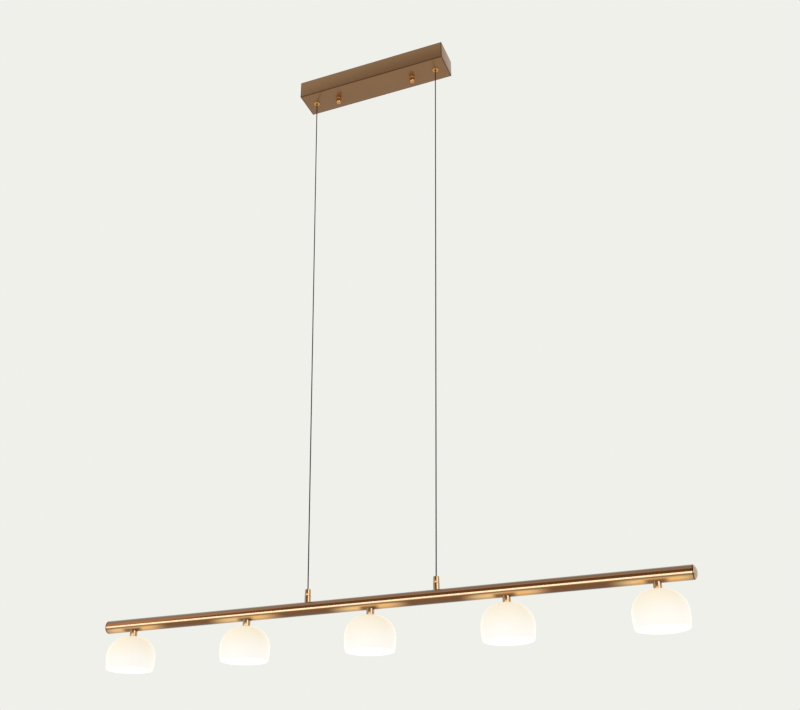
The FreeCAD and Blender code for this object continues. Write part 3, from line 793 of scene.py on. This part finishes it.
def arc(centre: Pair, radius: float, start: float, end: float, steps: int = 8) -> Outline:
    """Points along an arc of an outline, ends included.

    Args:
        centre: its centre, as (radius, height).
        radius: its radius.
        start: the first angle in degrees, from the outward direction upwards.
        end: the last angle.
        steps: the number of parts.

    Returns:
        The points.
    """
    points = []
    for step in range(steps + 1):
        angle = math.radians(start + (end - start) * step / steps)
        points.append((centre[0] + radius * math.cos(angle), centre[1] + radius * math.sin(angle)))
    return points


def lathe(
    name: str,
    outline: Outline,
    place: Point,
    towards: Side | None = None,
    sides: int = 96,
    smooth: float = SMOOTH,
) -> Piece:
    """Turns an outline into a solid: a circle is extruded and resized from point to point.

    Args:
        name: the piece's name.
        outline: points as (radius, height) in millimetres. An outline whose last point is its
            first makes a ring, and any other has both its ends closed.
        place: where the outline's zero goes, in metres.
        towards: the side that the outline's height points to, if it doesn't point up.
        sides: the number of sides of the circle.
        smooth: the angle in degrees above which an edge stays sharp.

    Returns:
        The piece.
    """
    deselect()
    radius, height = outline[0]
    bpy.ops.mesh.primitive_circle_add(
        vertices=sides, radius=radius * MM, fill_type="NOTHING", location=(0, 0, 0)
    )
    piece = named(bpy.context.object, name)
    bpy.ops.object.mode_set(mode="EDIT")
    bpy.ops.mesh.select_all(action="SELECT")
    bpy.ops.transform.translate(value=(0, 0, height * MM))
    for next_radius, next_height in outline[1:]:
        rise = (next_height - height) * MM
        bpy.ops.mesh.extrude_region_move(TRANSFORM_OT_translate={"value": (0, 0, rise)})
        share = next_radius / radius
        if abs(share - 1) > EQUAL:
            bpy.ops.transform.resize(value=(share, share, 1), center_override=(0, 0, next_height * MM))
        radius, height = next_radius, next_height
    bpy.ops.mesh.select_all(action="SELECT")
    bpy.ops.mesh.remove_doubles(threshold=MERGED)
    bpy.ops.mesh.fill_holes(sides=0)
    bpy.ops.mesh.select_all(action="SELECT")
    bpy.ops.mesh.normals_make_consistent(inside=False)
    deselect()
    piece.location = place
    piece.rotation_euler = (0, towards.value * math.pi / 2 if towards else 0, 0)
    seat(piece)
    smooth_active(smooth)
    return piece


def copied(piece: Piece, name: str, along: float) -> Piece:
    """Copies a piece, with its own mesh, to another place along the bar.

    Args:
        piece: what is copied.
        name: the copy's name.
        along: how far away it goes, in metres.

    Returns:
        The copy.
    """
    pick(piece)
    bpy.ops.object.duplicate(linked=False)
    made = named(bpy.context.object, name)
    bpy.ops.transform.translate(value=(along, 0, 0))
    return seat(made)


def joined(name: str, pieces: Sequence[Piece]) -> Piece:
    """Joins pieces into one mesh.

    Args:
        name: the name of the result.
        pieces: the pieces, the first of which is kept.

    Returns:
        The joined piece.
    """
    pick(*reversed(pieces))
    bpy.ops.object.join()
    return named(bpy.context.object, name)


def coped(piece: Piece) -> Piece:
    """Cuts a barrel's end to the round of the bar's tube that it stands on.

    Args:
        piece: the barrel.

    Returns:
        The same piece.
    """
    cutter_length, play = 80.0 * MM, 0.02 * MM
    deselect()
    bpy.ops.mesh.primitive_cylinder_add(
        vertices=192, radius=TUBE_RADIUS + play, depth=cutter_length,
        location=(piece.bound_box[0][0], 0, BAR_AXIS), rotation=(0, math.pi / 2, 0),
    )
    cutter = bpy.context.object
    pick(piece)
    bpy.ops.object.modifier_add(type="BOOLEAN")
    cut = piece.modifiers[-1]
    cut.object, cut.operation, cut.solver = cutter, "DIFFERENCE", "EXACT"
    bpy.ops.object.modifier_apply(modifier=cut.name)
    pick(cutter)
    bpy.ops.object.delete()
    pick(piece)
    smooth_active()
    return piece


# ---- the sub-assemblies ----


@dataclass
class Assembly:
    """What the sub-assemblies share: the finishes, and how a piece is tied to the frame."""

    finishes: Finishes

    def place(self, piece: Piece, body: str, slot: str, *nodes: str) -> Piece:
        """Dresses a piece and ties it to the frame.

        Args:
            piece: the finished piece.
            body: the CAD body that it rides on.
            slot: the record's material slot.
            nodes: the CAD nodes that it stands for.

        Returns:
            The same piece.
        """
        piece.data.materials.clear()
        piece.data.materials.append(self.finishes.materials[slot])
        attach(piece, body)
        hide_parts(*nodes)
        return piece

    def pair(self, model: Piece, word: str, reach: float, body: str, node: str) -> list[Piece]:
        """Places a brass piece that was modelled on the left, and its copy on the right.

        Args:
            model: the piece on the left.
            word: what the two are called, before their side.
            reach: how far each is from the middle, in metres.
            body: the body that each rides on, with {} for its side.
            node: the node that each stands for, with {} for its side.

        Returns:
            The two pieces.
        """
        pieces = (named(model, f"{word}_left"), copied(model, f"{word}_right", 2 * reach))
        return [
            self.place(piece, body.format(side.word), "polished_brass", node.format(side.word))
            for side, piece in zip(Side, pieces)
        ]


@dataclass
class Cables(Assembly):
    """The two taut cables, each from the ball in its ferrule to the ball in its grip."""

    diameter: float = 2.4 * MM
    length: float = 1.2419
    kept: float = 0.3557
    rounds: int = 5
    smoothness: int = 12
    route: tuple[Point, ...] = (
        (0.16, 0.0, -0.0443),
        (0.1512, 0.0, -0.4582),
        (0.1423, 0.0, -0.872),
        (0.1335, 0.0, -1.285921),
    )

    def build(self) -> list[Piece]:
        """Builds both cables."""
        return [self.cable(side) for side in Side]

    def cable(self, side: Side) -> Piece:
        """Builds one cable along its route, which is written for the right one.

        Args:
            side: which one.

        Returns:
            The cable.
        """
        points = [(side.value * x, y, z) for x, y, z in self.route]
        name = f"cable_{side.word}"
        curve = bpy.data.curves.new(name, "CURVE")
        curve.dimensions = "3D"
        spline = curve.splines.new("NURBS")
        spline.points.add(len(points) - 1)
        for point, where in zip(spline.points, points):
            point.co = (*where, 1.0)
        spline.order_u = 3
        spline.use_endpoint_u = True
        curve.resolution_u = self.smoothness
        made = bpy.data.objects.new(name, curve)
        bpy.context.scene.collection.objects.link(made)
        line = bpy.data.meshes.new_from_object(made)
        bpy.data.meshes.remove(line)
        curve.bevel_depth = self.diameter / 2
        curve.bevel_resolution = self.rounds
        curve.use_fill_caps = True
        pick(made)
        bpy.ops.object.convert(target="MESH")
        made = named(bpy.context.object, name)
        smooth_active(40)
        self.place(made, f"{side.word}_cable", "grey_cable", f"suspension_cable_{side.word}")
        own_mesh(made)
        return made


@dataclass
class Bar(Assembly):
    """The brass tube and its two domed end caps, with a fine seam where a cap meets the tube."""

    length: float = 1206.0
    rim: float = 7.0
    dome: float = 5.5
    seam: float = 0.35
    spigot: float = 12.0
    play: float = 0.2
    sides: int = 160

    def build(self) -> list[Piece]:
        """Builds the tube and the caps.

        Returns:
            The three pieces.
        """
        outer, inner, half = TUBE_RADIUS / MM, TUBE_INNER / MM, self.length / 2 - self.rim
        dome_radius = (outer ** 2 + self.dome ** 2) / (2 * self.dome)
        dome_foot, dome_top = math.degrees(math.acos(outer / dome_radius)) + 1.0, 89.0
        tube_outline = [
            (inner, -half), (outer - self.seam, -half), (outer, -half + self.seam),
            (outer, half - self.seam), (outer - self.seam, half), (inner, half), (inner, -half),
        ]
        cap_outline = [
            (TIP, -self.spigot), (inner - self.play, -self.spigot), (inner - self.play, 0.0),
            (outer - self.seam, 0.0), (outer, self.seam), (outer, self.rim - self.dome - self.play),
            *arc((0.0, self.rim - dome_radius), dome_radius, dome_foot, dome_top, 14),
        ]
        tube = lathe("bar", tube_outline, (0, 0, BAR_AXIS), Side.RIGHT, self.sides)
        made = [self.place(tube, "bar", "antique_brass", "bar_tube")]
        for side in Side:
            place = (side.value * half * MM, 0, BAR_AXIS)
            cap = lathe(f"cap_{side.word}", cap_outline, place, side, self.sides)
            made.append(self.place(cap, "bar", "antique_brass", f"end_cap_{side.word}"))
        return made


@dataclass
class Grips(Assembly):
    """What clamps the cables on the bar: a barrel below and a collar that screws onto it."""

    barrel: float = 6.2
    edge: float = 0.45
    top: float = 25.0
    thread: float = 4.0
    nipple: float = 3.9
    nipple_height: float = 6.0
    nipple_chamfer: float = 0.3
    bore: float = 2.8
    collar: float = 5.85
    collar_height: float = 12.5
    collar_round: float = 1.5
    collar_lift: float = 0.02
    lip: float = 0.35
    mouth: float = 2.65
    seat: float = 33.0787
    pocket: float = 3.7
    pocket_room: float = 0.3
    play: float = 0.06

    def grip(self) -> Piece:
        """Models the left barrel with its nipple.

        Returns:
            The grip.
        """
        place = (-GRIP_REACH, 0, BAR_AXIS)
        inner, nipple_top = self.thread + SKIN, self.top + self.nipple_height
        barrel = [
            (inner, BARREL_FOOT), (self.barrel, BARREL_FOOT),
            *arc((self.barrel - self.edge, self.top - self.edge), self.edge, 0, 90, 4),
            (inner, self.top), (inner, BARREL_FOOT),
        ]
        core = [
            (self.bore, THREAD_FOOT), (self.thread, THREAD_FOOT), (self.thread, self.top),
            (self.nipple, self.top), (self.nipple, nipple_top - self.nipple_chamfer),
            (self.nipple - self.nipple_chamfer, nipple_top), (self.bore, nipple_top),
            (self.bore, THREAD_FOOT),
        ]
        outside = coped(lathe("grip_barrel", barrel, place, sides=80))
        return joined("grip", [outside, lathe("grip_core", core, place, sides=48)])

    def collar_piece(self) -> Piece:
        """Models the left collar, hollow for the nipple and the clamping ball.

        Returns:
            The collar.
        """
        low, high = self.top + self.collar_lift, self.top + self.collar_height
        lip, soft, recess = self.lip, self.collar_round, self.nipple + self.play
        shoulder = self.top + self.nipple_height + self.pocket_room
        reach = math.degrees(math.acos(self.mouth / self.pocket))
        outline = [
            (recess, low),
            *arc((self.collar - lip, low + lip), lip, -90, 0, 3),
            *arc((self.collar - soft, high - soft), soft, 0, 90, 8),
            *arc((self.mouth + lip, high - lip), lip, 90, 180, 3),
            *arc((0.0, self.seat), self.pocket, reach, 0, 8),
            (self.pocket, shoulder), (recess, shoulder), (recess, low),
        ]
        return lathe("collar", outline, (-GRIP_REACH, 0, BAR_AXIS), sides=80)

    def build(self) -> list[Piece]:
        """Builds both grips and collars."""
        return [
            *self.pair(self.grip(), "grip", GRIP_REACH, "bar", "cable_grip_{}"),
            *self.pair(self.collar_piece(), "collar", GRIP_REACH, "{}_collar", "grip_collar_{}"),
        ]


@dataclass
class Shades(Assembly):
    """Five shades with their stems, washers, rings, holders and lamps.

    Each is modelled at the first shade and copied to the others. Heights are from the bar's axis.
    """

    outer: float = 48.75
    height: float = 66.0
    wall: float = 3.5
    tuck: float = 2.2
    flat: float = 8.5
    hole: float = 5.2
    crown: float = -24.0
    stem_foot: float = -23.0
    stem_radius: float = 7.5
    stem_round: float = 0.5
    core: float = 5.0
    bore: float = 3.5
    play: float = 0.1
    ring_top: float = -28.5
    ring_radius: float = 12.0
    ring_chamfer: float = 0.6
    ring_groove: float = 0.35
    washer_radius: float = 7.5
    washer_thick: float = 1.0
    washer_round: float = 0.3
    holder_top: float = -32.5
    holder_radius: float = 10.0
    holder_round: float = 1.5
    holder_groove: float = 0.4
    socket: float = 4.0
    socket_room: float = 0.6
    lamp_top: float = -50.5
    lamp_radius: float = 6.0
    lamp_foot: float = 3.0
    lamp_length: float = 28.0
    pin_radius: float = 0.45
    pin_length: float = 6.0
    pin_foot: float = 0.3
    pin_reach: float = 2.0

    def glass_outline(self) -> Outline:
        """The section of the glass, from its hole over the shoulder to the rim and back inside.

        Returns:
            The outline, with the crown at zero.
        """
        shoulder = self.outer - self.flat
        lip = self.wall / 2
        drop = self.height - shoulder - lip
        side_radius = (drop ** 2 + self.tuck ** 2) / (2 * self.tuck)
        swing = math.degrees(math.asin(drop / side_radius))
        middle = (self.outer - side_radius, -shoulder)
        return [
            (self.hole, 0.0),
            *arc((self.flat, -shoulder), shoulder, 90, 0, 26),
            *arc(middle, side_radius, 0, -swing, 6)[1:],
            *arc((self.outer - self.tuck - lip, -self.height + lip), lip, 0, -180, 10)[1:],
            *arc(middle, side_radius - self.wall, -swing, 0, 6)[1:],
            *arc((self.flat, -shoulder), shoulder - self.wall, 0, 90, 26)[1:],
            (self.hole, -self.wall),
            (self.hole, 0.0),
        ]

    def turned(self, name: str, outline: Outline, shift: float = 0.0, sides: int = 64) -> Piece:
        """Turns an outline under the first shade's place on the bar.

        Args:
            name: the piece's name.
            outline: its section, with the bar's axis at zero.
            shift: how far along the bar it stands from the shade's middle.
            sides: the number of its sides.

        Returns:
            The piece.
        """
        return lathe(name, outline, (SHADE_PLACES[0] + shift * MM, 0, BAR_AXIS), sides=sides)

    def stem(self) -> Piece:
        """Models the stem, with the hollow core that holds the shade.

        Returns:
            The stem.
        """
        inner, soft = self.core + SKIN, self.stem_round
        barrel = [
            (inner, -BARREL_FOOT), (inner, self.stem_foot),
            *arc((self.stem_radius - soft, self.stem_foot + soft), soft, -90, 0, 4),
            (self.stem_radius, -BARREL_FOOT), (inner, -BARREL_FOOT),
        ]
        low, high = self.holder_top - self.socket + self.socket_room, -THREAD_FOOT
        core = [(self.bore, low), (self.core, low), (self.core, high), (self.bore, high), (self.bore, low)]
        outside = coped(self.turned("stem_barrel", barrel, sides=80))
        return joined("stem", [outside, self.turned("stem_core", core, sides=48)])

    def retaining_ring(self) -> Piece:
        """Models the ring that holds the glass up, chamfered and with a groove round its middle.

        Returns:
            The ring.
        """
        low, high, inner, outer = self.holder_top, self.ring_top, self.core + self.play, self.ring_radius
        edge, groove, middle, half_groove = self.ring_chamfer, self.ring_groove, low + 2.0, 0.3
        outline = [
            (inner, low), (outer - edge, low), (outer, low + edge),
            (outer, middle - half_groove), (outer - groove, middle), (outer, middle + half_groove),
            (outer, high - edge), (outer - edge, high), (inner, high), (inner, low),
        ]
        return self.turned("ring", outline)

    def washer(self, low: float) -> Piece:
        """Models a washer.

        Args:
            low: the height of its underside.

        Returns:
            The washer.
        """
        inner, high, soft = self.core + self.play, low + self.washer_thick, self.washer_round
        outline = [
            (inner, low),
            *arc((self.washer_radius - soft, low + soft), soft, -90, 0, 3),
            *arc((self.washer_radius - soft, high - soft), soft, 0, 90, 3),
            (inner, high), (inner, low),
        ]
        return self.turned("washer", outline)

    def holder(self) -> Piece:
        """Models the ceramic lamp holder, with a socket for the stem and a groove round its waist.

        Returns:
            The holder.
        """
        low, high, floor = self.lamp_top, self.holder_top, self.holder_top - self.socket
        outer, soft, groove = self.holder_radius, self.holder_round, self.holder_groove
        inner, groove_low, groove_high, slope = self.core + self.play, low + 9.0, low + 11.5, 0.5
        flat, flat_edge = outer - 2.4, outer - 2.0
        outline = [
            (TIP, low), (flat, low), (flat_edge, low),
            *arc((outer - soft, low + soft), soft, -90, 0, 6),
            (outer, groove_low), (outer - groove, groove_low + slope),
            (outer - groove, groove_high - slope), (outer, groove_high),
            (outer, high - groove), (outer - groove, high), (inner, high),
            (inner, floor), (TIP, floor),
        ]
        return self.turned("holder", outline)

    def lamp(self) -> Piece:
        """Models the capsule lamp and its two pins.

        Returns:
            The lamp.
        """
        top, radius, foot, tip, tip_angle = self.lamp_top, self.lamp_radius, self.lamp_foot, 0.3, -87.0
        envelope = [
            (tip, top),
            *arc((foot, top - radius + foot), radius - foot, 90, 0, 8),
            *arc((0.0, top - self.lamp_length + radius), radius, 0, tip_angle, 14),
        ]
        low, high, point, pin_tip = top - self.pin_foot, top + self.pin_length, 0.4, (0.1, 0.15)
        pin = [
            (pin_tip[0], low), (self.pin_radius, low),
            (self.pin_radius, high - point), (pin_tip[1], high),
        ]
        parts = [self.turned("envelope", envelope, sides=48)]
        parts += [self.turned("pin", pin, sign * self.pin_reach, 16) for sign in (-1, 1)]
        return joined("lamp", parts)

    def row(self, word: str, model: Piece) -> list[Piece]:
        """Copies what was modelled at the first shade to the others.

        Args:
            word: what the pieces are called, before their number.
            model: the first piece.

        Returns:
            The five pieces.
        """
        pieces = [named(model, f"{word}_1")]
        for number, across in enumerate(SHADE_PLACES[1:], start=2):
            pieces.append(copied(model, f"{word}_{number}", across - SHADE_PLACES[0]))
        return pieces

    def build(self) -> list[Piece]:
        """Builds all that hangs under the bar.

        Returns:
            The pieces.
        """
        crown_place = (SHADE_PLACES[0], 0, BAR_AXIS + self.crown * MM)
        glass = lathe("shade", self.glass_outline(), crown_place, sides=144, smooth=50)
        models = {
            "shade": (glass, "opal_glass", "glass_shade"),
            "stem": (self.stem(), "polished_brass", "shade_stem"),
            "holder": (self.holder(), "white_ceramic", "lamp_holder"),
            "lamp": (self.lamp(), "lamp_glass", "capsule_lamp"),
        }
        made = []
        for word, (model, slot, node) in models.items():
            for number, piece in enumerate(self.row(word, model), start=1):
                made.append(self.place(piece, "bar", slot, f"{node}_{number}"))
        rings = joined("retaining_rings", self.row("ring", self.retaining_ring()))
        washers = [
            piece for low in (self.crown, self.ring_top) for piece in self.row("washer", self.washer(low))
        ]
        made.append(self.place(rings, "bar", "polished_brass", "shade_retaining_rings"))
        made.append(self.place(joined("washers", washers), "bar", "silicone", "shade_washers"))
        return made


@dataclass
class Canopy(Assembly):
    """The folded box at the ceiling, with its two cap nuts and two ferrules."""

    length: float = 378.0
    width: float = 72.0
    depth: float = 46.0
    sheet: float = 1.2
    fold: float = 1.0
    nut_radius: float = 6.25
    nut_edge: float = 0.4
    nut_straight: float = 14.0
    nut_height: float = 20.0
    nut_groove: float = 1.2
    nut_bore: float = 2.56
    nut_bore_depth: float = 11.3
    flange: float = 7.5
    flange_thick: float = 2.5
    flange_round: float = 0.8
    shank: float = 5.0
    shank_top: float = 5.1
    seat: float = 3.75
    seat_rise: float = 1.7
    mouth: float = 2.6
    lip: float = 0.3

    def cover(self) -> Piece:
        """Models the box: a cube, opened at the ceiling, with rounded folds and a thin wall.

        Returns:
            The cover.
        """
        middle = -self.depth / 2 * MM
        deselect()
        bpy.ops.mesh.primitive_cube_add(size=1, location=(0, 0, middle))
        box = named(bpy.context.object, "canopy")
        box.scale = (self.length * MM, self.width * MM, self.depth * MM)
        seat(box)

        def is_fold(edge: bpy.types.MeshEdge) -> bool:
            """Whether an edge reaches below the middle, as all do but those at the ceiling."""
            return min(box.data.vertices[spot].co.z for spot in edge.vertices) < middle

        choose(box, "FACE", lambda face: face.normal.z > 0.9)
        bpy.ops.mesh.delete(type="ONLY_FACE")
        choose(box, "EDGE", is_fold)
        bpy.ops.mesh.bevel(offset=self.fold * MM, segments=4, affect="EDGES")
        bpy.ops.object.mode_set(mode="OBJECT")
        bpy.ops.object.modifier_add(type="SOLIDIFY")
        wall = box.modifiers[-1]
        wall.thickness, wall.offset = self.sheet * MM, -1.0
        wall.use_even_offset = True
        bpy.ops.object.modifier_apply(modifier=wall.name)
        smooth_active(40)
        return box

    def cap_nut(self) -> Piece:
        """Models the left cap nut with its groove and domed end.

        Returns:
            The nut.
        """
        radius, edge, half_groove = self.nut_radius, self.nut_edge, self.nut_groove / 2
        dome = self.nut_height - self.nut_straight
        dome_radius = (radius ** 2 + dome ** 2) / (2 * dome)
        middle = -self.nut_height + dome_radius
        start = math.degrees(math.asin((-self.nut_straight - middle) / dome_radius))
        shoulder, chamfer, floor, half_floor = 0.12, 0.25, half_groove + 0.1, 0.15
        groove = [(0.0, half_groove + chamfer), (shoulder, half_groove), (floor, half_floor)]
        groove += [(inwards, -rise) for inwards, rise in reversed(groove)]
        tip, tip_angle, above_dome = 0.3, -87.5, 0.3
        outline = [
            (tip, -self.nut_bore_depth), (self.nut_bore, -self.nut_bore_depth), (self.nut_bore, 0.0),
            (radius - edge, 0.0), (radius, -edge),
            *((radius - inwards, -self.nut_straight / 2 + rise) for inwards, rise in groove),
            (radius, -self.nut_straight + above_dome),
            *arc((0.0, middle), dome_radius, start, tip_angle, 14),
        ]
        return lathe("nut", outline, (-STUD_REACH, 0, CANOPY_UNDERSIDE), smooth=30)

    def ferrule(self) -> Piece:
        """Models the left ferrule with its flange, shank and ball seat.

        Returns:
            The ferrule.
        """
        thick, soft, lip = self.flange_thick, self.flange_round, self.lip
        reach = math.degrees(math.acos(self.mouth / self.seat))
        outline = [
            (self.mouth, -thick + lip), (self.mouth + lip, -thick),
            *arc((self.flange - soft, -thick + soft), soft, -90, 0, 6),
            (self.flange, 0.0), (self.shank, 0.0),
            (self.shank, self.shank_top), (self.seat, self.shank_top),
            *arc((0.0, self.seat_rise), self.seat, 0, -reach, 8),
            (self.mouth, -thick + lip),
        ]
        return lathe("ferrule", outline, (-EXIT_REACH, 0, CANOPY_UNDERSIDE), sides=80)

    def build(self) -> list[Piece]:
        """Builds the canopy."""
        return [
            self.place(self.cover(), "canopy", "bronze_paint", "canopy_cover"),
            *self.pair(self.cap_nut(), "nut", STUD_REACH, "{}_cap_nut", "canopy_cap_nut_{}"),
            *self.pair(self.ferrule(), "ferrule", EXIT_REACH, "canopy", "cable_ferrule_{}"),
        ]


# ---- the studio ----


@dataclass(frozen=True)
class SoftLamp:
    """A rectangular lamp: its place, its aim, its size, its power in watts and what it is hidden from."""

    name: str
    place: Point
    aim: Point
    size: Pair
    power: float
    hidden: str = ""
    colour: Colour = (1.0, 0.97, 0.93)

    def build(self) -> None:
        """Adds the lamp."""
        deselect()
        bpy.ops.object.light_add(type="AREA", location=self.place)
        lamp = bpy.context.object
        lamp.name = self.name
        lamp.data.shape = "RECTANGLE"
        lamp.data.size, lamp.data.size_y = self.size
        lamp.data.energy = self.power
        lamp.data.color = self.colour
        lamp.rotation_euler = (Vector(self.aim) - Vector(self.place)).to_track_quat("-Z", "Y").to_euler()
        if self.hidden:
            setattr(lamp, f"visible_{self.hidden}", False)


@dataclass
class Studio:
    """The camera, the lamps, the floor and the world."""

    lens: float = 43.63
    sensor: float = 36.0
    clip: Pair = (0.05, 200.0)
    stand: Point = (0.7408, -1.6999, -1.7267)
    yaw: float = -0.3793
    pitch: float = 0.4666
    roll: float = -0.0055
    floor_height: float = -2.25
    floor_radius: float = 30.0
    floor_tones: tuple[Colour, Colour] = ((0.42, 0.415, 0.4), (0.38, 0.375, 0.36))
    floor_glow: Colour = (1.0, 0.99, 0.96)
    card_place: Point = (-0.2, -3.0, 0.64)
    card_size: Point = (4.8, 3.52, 1)
    card_tones: tuple[Colour, Colour] = ((0.18, 0.175, 0.17), (0.22, 0.215, 0.21))
    pale: Colour = srgb(240, 240, 235)
    soft: Colour = (0.95, 0.97, 1.0)
    softness: float = 0.45
    middle: Point = (0.0, 0.0, -1.0)

    def camera(self) -> None:
        """Adds the camera that was fitted to the photograph."""
        turns = ((-self.yaw, "Z"), (math.pi / 2 + self.pitch, "X"), (self.roll, "Z"))
        yawed, pitched, rolled = (Matrix.Rotation(angle, 3, axis) for angle, axis in turns)
        deselect()
        bpy.ops.object.camera_add(location=self.stand)
        camera = bpy.context.object
        camera.name = "camera"
        camera.data.lens = self.lens
        camera.data.sensor_width = self.sensor
        camera.data.clip_start, camera.data.clip_end = self.clip
        camera.rotation_euler = (yawed @ pitched @ rolled).to_euler()
        bpy.context.scene.camera = camera

    def floor(self) -> None:
        """Adds the plain pale floor."""
        deselect()
        bpy.ops.mesh.primitive_circle_add(
            vertices=64, radius=self.floor_radius, fill_type="NGON", location=(0, 0, self.floor_height)
        )
        floor = named(bpy.context.object, "floor")
        graph = Graph("pale_floor")
        floor.data.materials.append(
            graph.finish(
                Base_Color=graph.mixed(graph.noise(3.0), *self.floor_tones),
                Roughness=0.9,
                Emission_Color=self.floor_glow,
                Emission_Strength=0.58,
                Specular_IOR_Level=0.0,
            )
        )

    def world(self) -> None:
        """Lights everything softly, and shows the pale background to eyes, metal and glass."""
        graph = Graph("studio", world=True)
        path = graph.node("ShaderNodeLightPath").outputs
        rays = ("Is Camera Ray", "Is Glossy Ray", "Is Transmission Ray")
        camera, glossy, through = (Field(graph, path[ray]) for ray in rays)
        soft = graph.node("ShaderNodeBackground", {0: (*self.soft, 1.0), 1: self.softness})
        plain = graph.node("ShaderNodeBackground", {0: (*self.pale, 1.0), 1: 1.0})
        seen = camera.most(glossy).most(through)
        mix = graph.node("ShaderNodeMixShader", {0: seen, 1: soft.outputs[0], 2: plain.outputs[0]})
        graph.node("ShaderNodeOutputWorld", {0: mix.outputs[0]})
        bpy.context.scene.world = graph.owner

    def card(self) -> None:
        """Adds a dark card in front of the pendant, which only the metal reflects."""
        deselect()
        bpy.ops.mesh.primitive_plane_add(size=1, location=self.card_place, rotation=(math.pi / 2, 0, 0))
        card = named(bpy.context.object, "card")
        card.scale = self.card_size
        seat(card)
        graph = Graph("dark_card")
        card.data.materials.append(
            graph.finish(
                Base_Color=(0.0, 0.0, 0.0),
                Roughness=1.0,
                Emission_Color=graph.mixed(graph.noise(1.0), *self.card_tones),
                Emission_Strength=1.0,
            )
        )
        for ray in ("camera", "diffuse", "transmission", "shadow"):
            setattr(card, f"visible_{ray}", False)

    def build(self) -> None:
        """Adds the floor, the world, the card and the lamps."""
        bpy.context.scene.view_settings.view_transform = "Standard"
        self.floor()
        self.world()
        self.card()
        for lamp in (
            SoftLamp("key", (-2.6, -2.6, 0.6), self.middle, (2.2, 2.2), 54.0, "glossy"),
            SoftLamp("fill", (3.0, -2.2, -0.4), self.middle, (2.4, 2.4), 34.0),
            SoftLamp("back", (0.6, 3.2, 0.4), self.middle, (2.6, 1.6), 34.0, "glossy"),
            SoftLamp("strip", (-1.0, -3.1, -1.67), (-1.0, 0, BAR_AXIS), (5.0, 1.14), 33.0, "diffuse"),
        ):
            lamp.build()


def main() -> None:
    """Builds the pendant, from its cables to its canopy, with the camera first and the studio last."""
    logging.basicConfig(level=logging.INFO, format="%(name)s: %(message)s")
    studio = Studio()
    studio.camera()
    finishes = Finishes()
    for sub_assembly in (Cables, Bar, Grips, Shades, Canopy):
        for piece in sub_assembly(finishes).build():
            log.info("%s: %s, %d faces", sub_assembly.__name__, piece.name, len(piece.data.polygons))
    finishes.dress_nodes()
    studio.build()
    deselect()


if __name__ == "__main__":
    main()
